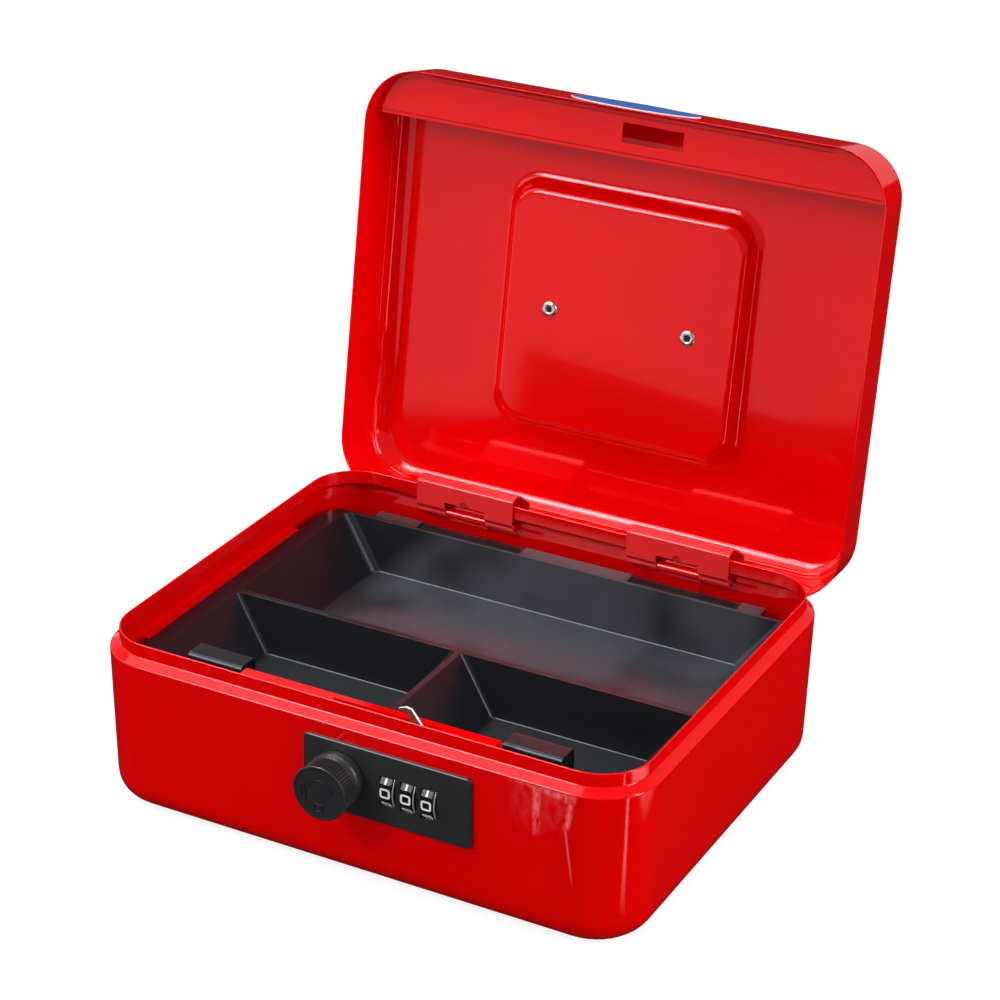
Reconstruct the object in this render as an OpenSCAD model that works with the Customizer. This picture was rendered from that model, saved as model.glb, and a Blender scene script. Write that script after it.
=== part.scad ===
// Steel cash box with a lift-out coin tray, a folding handle and a dial lock.
// X runs along the width, -Y is the lock side, +Z is up, the origin is under the middle of the floor.
// The lid is drawn shut and then turned back about the hinge axis.

/* [Box] */
// Outer width
body_w = 250; // [200:1:320]
// Outer depth
body_d = 200; // [160:1:260]
// Height of the outer wall's top bend
wall_h = 71.6; // [66:0.2:82]
// Sheet thickness
sheet_t = 0.8; // [0.6:0.1:1.0]
// Inward lean of the walls at the floor, per side
lean = 1.2; // [0.6:0.1:2]
// Corner radius seen from above
corner_r = 26; // [22:1:32]
// Rounding of the floor edge
floor_r = 12; // [8:0.5:14]
// Inset of the neck behind the outer wall
neck_in = 4; // [3.8:0.1:4.6]
// Neck rim above the outer wall's top bend
neck_h = 7; // [6.6:0.1:7.2]

/* [Lid] */
// Lid height from rim to top
lid_h = 29.5; // [27:0.5:36]
// Rounding of the lid's top edge
lid_r = 6; // [4:0.5:7]
// Opening angle of the lid
open_a = 98.5; // [90:0.5:100]
// Depth of the handle recess
dish_d = 8; // [6:0.1:8.2]
// Half width of the recess floor
dish_x = 53.8; // [50:0.2:58]
// Half depth of the recess floor
dish_y = 50.5; // [47:0.5:54]

/* [Hinges] */
// Inner end of a hinge, from the middle
hinge_x0 = 28.6; // [24:0.2:34]
// Outer end of a hinge, from the middle
hinge_x1 = 77.9; // [74:0.1:84]
// Pin radius
pin_r = 1.25; // [1:0.05:1.35]
// Half width of the window in a hinge leaf
win_w = 10.25; // [8:0.25:12]

/* [Tray] */
// Drop of the tray's top face below the wall's top bend
tray_drop = 10.8; // [10.6:0.2:14]
// Inside depth of the tray's compartments
tray_deep = 23.8; // [18:0.2:28]
// Tray wall thickness
tray_t = 1.5; // [1.2:0.1:1.8]
// Line of the cross divider
split_y = -6.3; // [-12:0.1:0]
// Slope of the compartments' end walls, top to foot
scoop = 18; // [12:1:20]
// Length of a finger tab
tab_l = 25.7; // [20:0.1:26]

/* [Lock] */
// Middle of the lock plate along X
plate_x = 18.8; // [16:0.2:20]
// Width of the lock plate
plate_w = 76.5; // [74:0.5:80]
// Height of the lock plate
plate_h = 32; // [30:0.5:34]
// Drop of the lock plate's middle below the wall's top bend
plate_drop = 23.6; // [23.4:0.2:25]
// Drop of the dial axle below the plate's middle
dial_drop = 0.6; // [0.2:0.1:1.2]
// Distance between two dials
dial_pitch = 9.3; // [9.2:0.1:9.6]
// Dial radius
dial_r = 11; // [10.4:0.1:11.1]
// Knob radius
knob_r = 11.6; // [10:0.1:12]
// Length of the knob's grip
knob_l = 13.3; // [10:0.1:15]

/* [Hidden] */
t = sheet_t;
hw = body_w / 2;
hd = body_d / 2;
bend_r = 1.5;
bend_z = wall_h - bend_r;
neck_z = wall_h + neck_h;
band_z = wall_h + 1;
nw = hw - neck_in;
nd = hd - neck_in;
slope = lean / (bend_z - floor_r);
function wall(z) = hd - t - lean + (z - floor_r) * slope;
function side(z) = hw - t - lean + (z - floor_r) * slope;

lid_z = wall_h + 0.3;
lid_top = lid_z + lid_h;
lid_lx = 2.1;
lid_ly = 1.6;
lid_mid = lid_top - lid_r;
function lid_wall(z) = hd - t - (z - lid_z) * lid_ly / (lid_mid - lid_z);
dish_z = lid_top - dish_d;
dish_run = 9.3;

ky = hd - 3;
kz = wall_h - 5;
ca = cos(open_a);
sa = sin(open_a);
function opened(p) = [ky + ca * (p[0] - ky) + sa * (p[1] - kz), kz - sa * (p[0] - ky) + ca * (p[1] - kz)];
knuckle_r = pin_r + t;
pin_gap = 0.07;
win_x = (hinge_x0 + hinge_x1) / 2;
leaf_y = nd - t - 0.9;

pivot_y = 6.5;
pivot_z = dish_z + 2.5;
trunnion_r = 1.7;
bail_r = 2;
bail_x = 45;
bail_l = 36;
rivet_x = 34.2;

latch_y = -(hd - 8.4);
plate_y = -(hd + 1.1);
plate_z = wall_h - plate_drop;
knob_x = plate_x - 21;
knob_z = plate_z + 0.8;
dial_x = plate_x + 10;
dial_z = plate_z - dial_drop;
dial_y = plate_y + dial_r - 1.7;
dial_w = 6.6;
axle_r = 1.5;
cam_l = 16.3;
cam_in = cam_l * cos(45);
travel = 2 * cam_in;
spindle_r = 3;
cover_y = -(hd - 21.3);
cover_x0 = plate_x - 68.8;
cover_x1 = plate_x + 40.7;
cover_z0 = plate_z - plate_h / 2 + 1;
cover_z1 = wall_h - 1.7;
strip_z = neck_z + 0.75;
hook_z = strip_z + 0.75;
slot_x0 = -1;
slot_x1 = 28;
rail_z = neck_z - 2.6;

tray_x = hw - 15;
flange_x = hw - 6;
flange_y = nd - t - 1.8;
tray_yb = hd - 14.5;
tray_yf = -(hd - 29);
front_y = -(hd - 23);
tray_z = wall_h - tray_drop;
tray_foot = tray_z - tray_deep;
rest_z = tray_z - tray_t;
tab_x = hw - 64.6;
tab_z = tray_z + 11.5;

// ---- helpers ----
function unit(v) = v / norm(v);
function side_of(v) = [-v[1], v[0]];
function seg(p, i) = side_of(unit(p[i + 1] - p[i]));
function mitre(a, b) = (a + b) / (1 + a * b);
function edge(p, i) = i == 0 ? seg(p, 0) : i == len(p) - 1 ? seg(p, i - 1) : mitre(seg(p, i - 1), seg(p, i));
function strip(p, w) = concat([for (i = [0:len(p) - 1]) p[i] + edge(p, i) * w / 2],
  [for (i = [len(p) - 1:-1:0]) p[i] - edge(p, i) * w / 2]);

// A profile drawn in Y and Z, pulled along X from x0 to x1.
module along_x(x0, x1) {
  translate([x0, 0, 0]) rotate([90, 0, 90]) linear_extrude(x1 - x0) children();
}

// A profile drawn in X and Z, pulled along Y from y0 to y1.
module along_y(y0, y1) {
  translate([0, y1, 0]) rotate([90, 0, 0]) linear_extrude(y1 - y0) children();
}

module rounded(w, h, r) {
  square([w - 2 * r, h], center = true);
  square([w, h - 2 * r], center = true);
  for (x = [-1, 1], y = [-1, 1])
    translate([x * (w / 2 - r), y * (h / 2 - r)]) circle(r, $fn = 32);
}

module ring(r, m) {
  rotate_extrude($fn = 48) translate([r - m, 0]) circle(m, $fn = 32);
}

module corners(x, y, r) {
  for (i = [-1, 1], j = [-1, 1]) translate([i * (x - r), j * (y - r), 0]) children();
}

module box_form(o) {
  hull() {
    translate([0, 0, floor_r]) corners(hw - lean, hd - lean, corner_r - 1) ring(corner_r - 1 - o, floor_r - o);
    translate([0, 0, bend_z]) corners(hw, hd, corner_r) ring(corner_r - o, bend_r - o);
    translate([0, 0, band_z - o * 1.2 - 0.1]) corners(nw, nd, corner_r - neck_in)
      cylinder(h = 0.1, r = corner_r - neck_in - o, $fn = 48);
  }
}

module neck_form(o, z0, z1) {
  hull() translate([0, 0, z0]) corners(nw, nd, corner_r - neck_in)
    cylinder(h = z1 - z0, r = corner_r - neck_in - o, $fn = 48);
}

module lid_form(o, dz) {
  hull() {
    translate([0, 0, lid_z - dz]) corners(hw, hd, corner_r) cylinder(h = dz + 0.01, r = corner_r - o, $fn = 48);
    translate([0, 0, lid_mid]) corners(hw - lid_lx, hd - lid_ly, corner_r - 3) ring(corner_r - 3 - o, lid_r - o);
  }
}

module dish_form(o, z1) {
  hull() {
    translate([0, 0, dish_z - o]) corners(dish_x + o, dish_y + o, 10) cylinder(h = 0.1, r = 10, $fn = 48);
    translate([0, 0, z1]) corners(dish_x + dish_run + o, dish_y + dish_run + o, 17)
      cylinder(h = 0.1, r = 17, $fn = 48);
  }
}

module shut_to_open() {
  translate([0, ky, kz]) rotate([-open_a, 0, 0]) translate([0, -ky, -kz]) children();
}

module cross_cyl(x0, x1, y, z, r) {
  translate([x0, y, z]) rotate([0, 90, 0]) cylinder(h = x1 - x0, r = r, $fn = 48);
}

module deep_cyl(x, z, y0, y1, r) {
  translate([x, y1, z]) rotate([90, 0, 0]) cylinder(h = y1 - y0, r = r, $fn = 48);
}

// ---- box ----
module body_shell() {
  color([0.78, 0.02, 0.04]) difference() {
    union() {
      box_form(0);
      neck_form(0, band_z - 0.6, neck_z);
    }
    box_form(t);
    neck_form(t, band_z - 3, neck_z + 1);
    along_y(-hd - 1, -hd + 4) translate([dial_x, dial_z]) square([dial_pitch * 2 + dial_w + 1.2, 18.4], center = true);
    deep_cyl(knob_x, knob_z, -hd - 1, -hd + 4, 5.1);
    for (p = screw_at) deep_cyl(p[0], p[1], -hd - 1, -hd + 4, 1.6);
  }
}

module front_rail() {
  color([0.72, 0.02, 0.04]) difference() {
    along_x(plate_x - 73, plate_x + 43.4) polygon(strip([[-(nd - t - t / 2), rail_z - 5],
      [-(nd - t - t / 2), rail_z], [-(nd - 8.4), rail_z], [-(nd - 8.4), rail_z - 2.2]], t));
    translate([(slot_x0 + slot_x1) / 2, latch_y, rail_z])
      cube([48.5, 2.4, 4], center = true);
  }
}

// ---- lock ----
screw_at = [for (x = [-32.8, 31.7], z = [-10.4, 10.6]) [plate_x + x, plate_z + z]];

module wall_cut() {
  z0 = plate_z - plate_h;
  z1 = plate_z + plate_h;
  along_x(-hw, hw) polygon([[-(wall(z0) + t), z0], [-(wall(z1) + t), z1], [0, z1], [0, z0]]);
}

module plate_slab(y, inset) {
  translate([plate_x, y, plate_z]) rotate([90, 0, 0]) linear_extrude(0.1)
    rounded(plate_w - inset, plate_h - inset, 2.4);
}

module lock_plate() {
  color([0.11, 0.115, 0.12]) difference() {
    hull() {
      plate_slab(-hd + 2, 0);
      plate_slab(plate_y + 0.7, 0);
      plate_slab(plate_y + 0.1, 1.6);
    }
    wall_cut();
    for (i = [-1, 0, 1]) {
      along_y(plate_y - 1, -hd + 4) translate([dial_x + i * dial_pitch, dial_z]) square([7.2, 13.3], center = true);
      cross_cyl(dial_x + i * dial_pitch - 3.6, dial_x + i * dial_pitch + 3.6, dial_y, dial_z, dial_r + 0.3);
    }
    deep_cyl(knob_x, knob_z, plate_y - 1, -hd + 4, 5.1);
    for (p = screw_at) deep_cyl(p[0], p[1], plate_y + 0.6, -hd + 4, 1.5);
  }
}

module lock_frame() {
  z0 = plate_z - plate_h / 2 + 2;
  z1 = plate_z + plate_h / 2 - 2;
  cheek_x = 15.4;
  color([0.62, 0.63, 0.65]) difference() {
    union() {
      along_x(plate_x - 36, plate_x + 36) polygon([[-wall(z0), z0], [-wall(z1), z1], [latch_y - 5.6, z1], [latch_y - 5.6, z0]]);
      for (x = [dial_x - cheek_x, dial_x + cheek_x - 1.2])
        along_x(x, x + 1.2) square_at(latch_y - 5.8, dial_y + 4.5, dial_z - 5.4, dial_z + 5.6);
      along_x(dial_x - cheek_x, dial_x + cheek_x) square_at(latch_y - 5.8, dial_y + 10.4, z0, z0 + t);
    }
    along_y(-hd - 1, latch_y) translate([dial_x, dial_z]) square([dial_pitch * 2 + dial_w + 1.2, 23], center = true);
    deep_cyl(knob_x, knob_z, -hd - 1, latch_y, 5.1);
    cross_cyl(dial_x - 20, dial_x + 20, dial_y, dial_z, axle_r);
    for (p = screw_at) deep_cyl(p[0], p[1], -hd - 1, latch_y, 1.5);
  }
}

module square_at(y0, y1, z0, z1) {
  translate([y0, z0]) square([y1 - y0, z1 - z0]);
}

module lock_screws() {
  color([0.7, 0.7, 0.72]) for (p = screw_at) {
    deep_cyl(p[0], p[1], plate_y + 0.6, latch_y - 5.6, 1.5);
    difference() {
      deep_cyl(p[0], p[1], latch_y - 5.6, latch_y - 4, 2.6);
      translate([p[0], latch_y - 3.9, p[1]]) cube([6, 1.2, 0.7], center = true);
    }
  }
}

module lock_cover() {
  color([0.7, 0.02, 0.04]) difference() {
    along_x(cover_x0, cover_x1) polygon([[-wall(cover_z0), cover_z0], [-wall(cover_z1), cover_z1],
      [cover_y, cover_z1], [cover_y, cover_z0]]);
    along_x(cover_x0 + t, cover_x1 - t) square_at(-hd - 5, cover_y - t, cover_z0 + t, cover_z1 - t);
    translate([16, latch_y, cover_z1]) cube([35, 2.8, 4], center = true);
  }
}

module knob_bush() {
  color([0.12, 0.12, 0.125]) difference() {
    union() {
      deep_cyl(knob_x, knob_z, plate_y - 1.9, plate_y, knob_r + 0.6);
      deep_cyl(knob_x, knob_z, plate_y - 2.6, plate_y - 1.9, knob_r);
      deep_cyl(knob_x, knob_z, plate_y, latch_y - 4.2, 5.1);
      along_y(latch_y - 5.6, latch_y - 4.2) translate([knob_x, knob_z]) circle(8, $fn = 6);
    }
    deep_cyl(knob_x, knob_z, plate_y - 5, latch_y, spindle_r + 0.06);
  }
}

module dial_axle() {
  color([0.75, 0.75, 0.77]) cross_cyl(dial_x - 16, dial_x + 16, dial_y, dial_z, axle_r);
}

module detent_spring() {
  y = dial_y + dial_r;
  z = plate_z - plate_h / 2 + 2 + t + 0.2;
  color([0.55, 0.56, 0.58]) along_x(dial_x - 13, dial_x + 13) polygon(strip([[dial_y - 3.2, z], [y - 5.2, z],
    [y - 1.6, z + 0.4], [y + 0.6, z + 3.5], [y + 0.8, z + 8]], 0.35));
}

// ---- hinges ----
module hinge_base(s) {
  x0 = s > 0 ? win_x - win_w + 0.3 : -win_x - win_w + 0.3;
  z0 = kz - 14.6;
  color([0.72, 0.02, 0.04]) difference() {
    union() {
      along_x(x0, x0 + 2 * win_w - 0.6) polygon([[wall(z0), z0], [wall(kz + 2), kz + 2], [wall(kz + 2) - t, kz + 2],
        [wall(z0) - t, z0]]);
      cross_cyl(x0, x0 + 2 * win_w - 0.6, ky, kz, knuckle_r);
    }
    cross_cyl(x0 - 1, x0 + 2 * win_w, ky, kz, pin_r);
  }
}

module hinge_base_left() { hinge_base(-1); }
module hinge_base_right() { hinge_base(1); }

module hinge_pin(s) {
  color([0.7, 0.7, 0.72]) cross_cyl(s * (hinge_x0 + hinge_x1) / 2 - (hinge_x1 - hinge_x0) / 2 - 0.6,
    s * (hinge_x0 + hinge_x1) / 2 + (hinge_x1 - hinge_x0) / 2 + 0.6, ky, kz, pin_r);
}

module hinge_pin_left() { hinge_pin(-1); }
module hinge_pin_right() { hinge_pin(1); }

module leaf(s) {
  x0 = s > 0 ? hinge_x0 : -hinge_x1;
  x1 = s > 0 ? hinge_x1 : -hinge_x0;
  top = neck_z + 1;
  path = [[ky - knuckle_r + t / 2, kz], [ky - knuckle_r + t / 2, kz + 1.2], [leaf_y, kz + 3.2], [leaf_y, top],
    [leaf_y + 0.9, top + 1.8], [leaf_y + 3.7, top + 2.4], [leaf_y + 7.5, top + 1.3], [ky + 14.5, kz + 7.2],
    [ky + 14.5, kz], opened([lid_wall(82.6) - t / 2, 82.6]), opened([lid_wall(92) - t / 2, 92])];
  color([0.75, 0.02, 0.04]) difference() {
    union() {
      along_x(x0, x1) polygon(strip(path, t));
      cross_cyl(x0, x1, ky, kz, knuckle_r);
    }
    cross_cyl(x0 - 1, x1 + 1, ky, kz, pin_r + pin_gap);
    translate([s * win_x, ky, kz + 0.6]) cube([2 * win_w, 10, 11.2], center = true);
    deep_cyl(s * win_x, kz + 6.2, ky - 5, ky, 2.2);
  }
}

module hinge_leaf_left() { leaf(-1); }
module hinge_leaf_right() { leaf(1); }

// ---- lid ----
module lid_shell() {
  color([0.78, 0.02, 0.04]) shut_to_open() difference() {
    union() {
      difference() {
        lid_form(0, 0);
        lid_form(t, 1);
      }
      dish_form(t, lid_top - 0.1);
    }
    dish_form(0, lid_top);
    for (x = [-1, 1]) translate([x * rivet_x, 0, dish_z - 3]) cylinder(h = 6, r = 2.2, $fn = 48);
  }
}

module lid_striker() {
  zf = strip_z + 8;
  fold_x = hw - 29;
  color([0.74, 0.02, 0.04]) shut_to_open() difference() {
    union() {
      translate([0, 0, strip_z - t / 2]) linear_extrude(t) difference() {
        rounded(2 * hw - 3.3, 2 * hd - 3, 24.1);
        translate([-hw, -(hd - 22.2)]) square([2 * hw, 2 * hd]);
        translate([-fold_x, -hd]) square([2 * fold_x, 4.1]);
      }
      along_x(-(hw - 2.6), hw - 2.6) square_at(-(hd - 22.2) - t, -(hd - 22.2), strip_z - t / 2, strip_z + 3);
      along_x(-fold_x, fold_x) square_at(-(hd - 4.1), -(hd - 4.1) + t, strip_z - t / 2, strip_z + 3);
      for (x = [-95, 85]) along_x(x, x + 10) polygon([[-(hd - 5), strip_z - t / 2],
        [-lid_wall(strip_z - t / 2), strip_z - t / 2], [-lid_wall(zf), zf], [-lid_wall(zf) + t, zf],
        [-lid_wall(strip_z) + t, strip_z + t / 2], [-(hd - 5), strip_z + t / 2]]);
    }
    translate([(slot_x0 + slot_x1) / 2, -(hd - 11.6), strip_z]) cube([slot_x1 - slot_x0, 8.7, 3], center = true);
  }
}

module lid_label() {
  a = atan(lid_ly / (lid_mid - lid_z));
  color([0.1, 0.25, 0.6]) shut_to_open() translate([1.3, -(hd - 13 * tan(a)), lid_z + 13])
    rotate([90 - a, 0, 0]) linear_extrude(0.3)
      polygon([for (i = [0:5:355]) [30.8 * cos(i), 11 * sin(i)]]);
}

// ---- handle ----
module clip(s) {
  color([0.72, 0.72, 0.74]) shut_to_open() difference() {
    union() {
      translate([s * rivet_x - 6, -6, dish_z]) cube([12, 10, t]);
      along_x(s * rivet_x - 6, s * rivet_x + 6) polygon([[3.7, dish_z], [3.7, dish_z + t], [pivot_y - 1.8, dish_z + 2.6],
        [pivot_y, dish_z + 1.2], [pivot_y, dish_z]]);
      cross_cyl(s * rivet_x - 6, s * rivet_x + 6, pivot_y, pivot_z, trunnion_r + 0.75);
    }
    cross_cyl(s * rivet_x - 7, s * rivet_x + 7, pivot_y, pivot_z, trunnion_r + 0.08);
    translate([s * rivet_x, 0, dish_z - 3]) cylinder(h = 6, r = 2.2, $fn = 48);
  }
}

module handle_clip_left() { clip(-1); }
module handle_clip_right() { clip(1); }

module handle_rivets() {
  color([0.8, 0.79, 0.76]) shut_to_open() for (x = [-1, 1]) translate([x * rivet_x, 0, dish_z]) difference() {
    union() {
      translate([0, 0, -t - 0.8]) cylinder(h = 0.8, r = 3.75, $fn = 48);
      translate([0, 0, -t - 0.4]) cylinder(h = 2 * t + 0.8, r = 2.2, $fn = 48);
      translate([0, 0, t]) cylinder(h = 0.8, r = 3.4, $fn = 48);
    }
    translate([0, 0, -4]) cylinder(h = 8, r = 1.35, $fn = 48);
  }
}

// The handle hangs straight down from its pivot while the lid stands open.
module carry_handle() {
  color([0.7, 0.7, 0.72]) shut_to_open() translate([0, pivot_y, pivot_z]) rotate([open_a - 90, 0, 0]) {
    for (s = [-1, 1]) {
      cross_cyl(s > 0 ? rivet_x - 7 : -bail_x, s > 0 ? bail_x : -rivet_x + 7, 0, 0, trunnion_r);
      translate([s * bail_x, 0, 0]) sphere(bail_r, $fn = 32);
      translate([s * bail_x, 0, 0]) rotate([-90, 0, 0]) cylinder(h = bail_l - 9, r = bail_r, $fn = 32);
      translate([s * (bail_x - 9), bail_l - 9, 0]) rotate([0, 0, s > 0 ? 0 : 90])
        rotate_extrude(angle = 90, $fn = 48) translate([9, 0]) circle(bail_r, $fn = 32);
    }
    cross_cyl(-bail_x + 9, bail_x - 9, bail_l, 0, bail_r);
  }
}

// ---- tray ----
module cup(x0, x1, y0, y1, fx0, fx1, fy0, fy1, o, top) {
  hull() {
    for (x = [x0 + 6, x1 - 6], y = [y0 + 6, y1 - 6]) translate([x, y, top]) cylinder(h = 0.4, r = 6 + o, $fn = 32);
    for (x = [fx0 + 5, fx1 - 5], y = [fy0 + 5, fy1 - 5]) translate([x, y, tray_foot + 5]) sphere(5 + o, $fn = 32);
  }
}

module cups(o, top) {
  cup(-tray_x, tray_x, split_y + 1.5, tray_yb, -tray_x + scoop, tray_x - scoop, split_y + 6, tray_yb - 5, o, top);
  for (s = [0, 1]) mirror([s, 0, 0])
    cup(1.5, tray_x, tray_yf, split_y - 1.5, 1.5 + scoop, tray_x - scoop, tray_yf + 5, split_y - 6.5, o, top);
}

module coin_tray() {
  color([0.09, 0.09, 0.095]) {
    difference() {
      union() {
        cups(tray_t, tray_z - tray_t - 0.4);
        translate([0, 0, rest_z]) linear_extrude(tray_t) difference() {
          union() {
            translate([0, (flange_y + front_y) / 2]) rounded(2 * flange_x, flange_y - front_y, 20);
            translate([-flange_x, front_y]) square([2 * flange_x, 30]);
          }
          for (s = [-1, 1]) {
            translate([s * win_x - 20.5, flange_y - 7]) square([53, 20]);
            translate([s > 0 ? 97 : -197, flange_y - 7]) square([100, 20]);
          }
        }
      }
      cups(0, tray_z);
    }
  }
}

// A finger tab stands on the flange's front edge and reaches forward over it.
module finger_tab() {
  color([0.09, 0.09, 0.095]) {
    translate([tab_x, front_y - 5.2, tab_z - 2.2]) cube([tab_l, 11.2, 2.2]);
    translate([tab_x, front_y + 4, tray_z]) cube([tab_l, 2, tab_z - tray_z - 1]);
    for (x = [tab_x, tab_x + tab_l - 1.8]) along_x(x, x + 1.8) polygon([[front_y + 5, tray_z],
      [front_y + 0.6, tray_z], [front_y - 4.6, tab_z - 1], [front_y + 5, tab_z - 1]]);
  }
}

module tray_tab_left() { mirror([1, 0, 0]) finger_tab(); }
module tray_tab_right() { finger_tab(); }

module tray_rest(s) {
  y = 60;
  xi = flange_x - 2.6;
  color([0.7, 0.02, 0.04]) scale_x(s) translate([0, y, 0]) rotate([90, 0, 0]) linear_extrude(2 * y) polygon([
    [xi, rest_z], [side(rest_z), rest_z], [side(rest_z - 9), rest_z - 9], [side(rest_z - 9) - t, rest_z - 9],
    [side(rest_z - t) - t, rest_z - t], [xi, rest_z - t]]);
}

module scale_x(s) {
  if (s < 0) mirror([1, 0, 0]) children();
  else children();
}

module tray_rest_left() { tray_rest(-1); }
module tray_rest_right() { tray_rest(1); }

// ---- knob, cam and bolt ----
module knob() {
  y1 = plate_y - 2.9;
  y0 = y1 - knob_l;
  color([0.1, 0.1, 0.105]) {
    difference() {
      union() {
        deep_cyl(knob_x, knob_z, y0 + 0.7, y1, knob_r);
        translate([knob_x, y0 + 0.7, knob_z]) rotate([90, 0, 0]) cylinder(h = 0.7, r1 = knob_r, r2 = knob_r - 0.7, $fn = 96);
      }
      deep_cyl(knob_x, knob_z, y0 + 4, y1 + 1, spindle_r);
    }
    along_y(y0 - 0.5, y0) translate([knob_x, knob_z]) {
      difference() {
        circle(7.6, $fn = 64);
        circle(5.6, $fn = 64);
        polygon([[0, 0], [-20, 6], [-20, -20], [20, -20], [20, 2]]);
      }
      polygon([[4.2, 2.6], [9.2, 2.6], [6.7, -1.2]]);
      translate([-6.6, -5.2]) square([3.4, 1.8]);
    }
  }
}

module knob_spindle() {
  color([0.6, 0.6, 0.62]) deep_cyl(knob_x, knob_z, plate_y - 2.9 - knob_l + 4, latch_y + 1.2, spindle_r);
}

module lock_cam() {
  px = knob_x + cam_in;
  pz = knob_z + cam_in;
  color([0.66, 0.66, 0.68]) difference() {
    union() {
      deep_cyl(knob_x, knob_z, latch_y - 3, latch_y - 1.5, 5);
      deep_cyl(px, pz, latch_y - 3, latch_y - 1.5, 2.4);
      deep_cyl(px, pz, latch_y - 1.6, latch_y + 1.3, 1.6);
      translate([knob_x, latch_y - 1.5, knob_z]) rotate([90, 0, 0]) rotate([0, 0, 45])
        translate([0, -2.1, 0]) linear_extrude(1.5) square([cam_l, 4.2]);
    }
    deep_cyl(knob_x, knob_z, latch_y - 5, latch_y, spindle_r);
  }
}

module cam_nut() {
  color([0.72, 0.72, 0.74]) along_y(latch_y - 1.5, latch_y + 0.7) translate([knob_x, knob_z]) difference() {
    circle(5.5, $fn = 6);
    circle(spindle_r, $fn = 48);
  }
}

module latch_slide() {
  px = knob_x + cam_in;
  pz = knob_z + cam_in;
  hx = slot_x1 - 0.4;
  color([0.75, 0.76, 0.78]) along_y(latch_y - 0.6, latch_y + 0.6) difference() {
    polygon([[px - 5, pz - 3.2], [px + 4.2, pz - 3.2], [px + 4.2, dial_z + dial_r + 2.8], [hx + 3.4, dial_z + dial_r + 2.8],
      [hx + 3.4, rail_z - 2],
      [hx + 2.6, rail_z - 0.5], [hx, strip_z - 0.4], [hx - 2.4, hook_z + 1.9], [hx - 5.1, hook_z + 2.3],
      [hx - 8.2, hook_z + 1.1], [hx - 8.6, hook_z], [hx - 3.8, hook_z], [hx - 3.4, rail_z + 1.5],
      [hx - 3.4, cover_z1 - t - 0.4], [px - 5, cover_z1 - t - 0.4]]);
    translate([px - 2.2, pz - 2.1]) square([4.4, 9.1]);
  }
}

module dial(i) {
  x = dial_x + i * dial_pitch;
  color([0.14, 0.14, 0.145]) difference() {
    union() {
      cross_cyl(x - dial_w / 2, x + dial_w / 2, dial_y, dial_z, dial_r);
      cross_cyl(x - dial_pitch / 2 + 0.1, x + dial_pitch / 2 - 0.1, dial_y, dial_z, 4.5);
    }
    cross_cyl(x - 10, x + 10, dial_y, dial_z, axle_r + 0.06);
    for (a = [0:36:324]) translate([x, dial_y, dial_z]) rotate([a + 18, 0, 0])
      translate([0, 0, dial_r + 0.35]) cube([dial_w + 2, 0.9, 1.4], center = true);
  }
}

module dial_wheel_1() { dial(-1); }
module dial_wheel_2() { dial(0); }
module dial_wheel_3() { dial(1); }

body_shell();
front_rail();
lock_plate();
lock_cover();
lock_frame();
lock_screws();
knob_bush();
dial_axle();
detent_spring();
hinge_base_left();
hinge_base_right();
hinge_pin_left();
hinge_pin_right();
tray_rest_left();
tray_rest_right();
lid_shell();
lid_striker();
hinge_leaf_left();
hinge_leaf_right();
handle_clip_left();
handle_clip_right();
handle_rivets();
lid_label();
carry_handle();
coin_tray();
tray_tab_left();
tray_tab_right();
knob();
knob_spindle();
lock_cam();
cam_nut();
latch_slide();
dial_wheel_1();
dial_wheel_2();
dial_wheel_3();
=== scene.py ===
# %% [markdown]
# # A red steel cash box, open, with its coin tray
#
# The CAD model already fixes every size, joint and position of this box.
# Here it gets its looks: smooth pressed sheet in place of faceted shells,
# a moulded tray, a knurled knob, numbered dials, and paint that reflects a
# studio. We start by loading the CAD model as a fixed frame.

# %% Load the frame
import math
import bpy
import bmesh
from mathutils import Vector, Matrix


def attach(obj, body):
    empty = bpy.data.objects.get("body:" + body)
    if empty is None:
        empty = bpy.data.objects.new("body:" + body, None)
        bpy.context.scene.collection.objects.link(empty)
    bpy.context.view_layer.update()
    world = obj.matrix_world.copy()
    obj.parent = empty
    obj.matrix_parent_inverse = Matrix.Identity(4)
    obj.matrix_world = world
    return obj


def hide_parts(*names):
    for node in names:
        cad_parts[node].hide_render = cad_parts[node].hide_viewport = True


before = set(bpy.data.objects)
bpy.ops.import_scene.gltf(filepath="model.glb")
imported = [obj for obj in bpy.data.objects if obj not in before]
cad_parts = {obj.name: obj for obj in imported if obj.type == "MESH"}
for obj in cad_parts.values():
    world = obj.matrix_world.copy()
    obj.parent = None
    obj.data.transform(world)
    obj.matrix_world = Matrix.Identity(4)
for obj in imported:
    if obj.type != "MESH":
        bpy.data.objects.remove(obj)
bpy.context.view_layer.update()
MM = 0.001

# %% [markdown]
# ## Camera
#
# A product shot is taken with a long lens, which keeps parallel edges nearly
# parallel. The camera is placed by two angles and a roll around its own view
# axis. Building the rotation from three unit vectors is easier to check than
# three Euler angles: right, up and backwards are simply the matrix columns.

# %% Place the camera
SENSOR_MM, PICTURE_PX = 36, 1000


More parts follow.
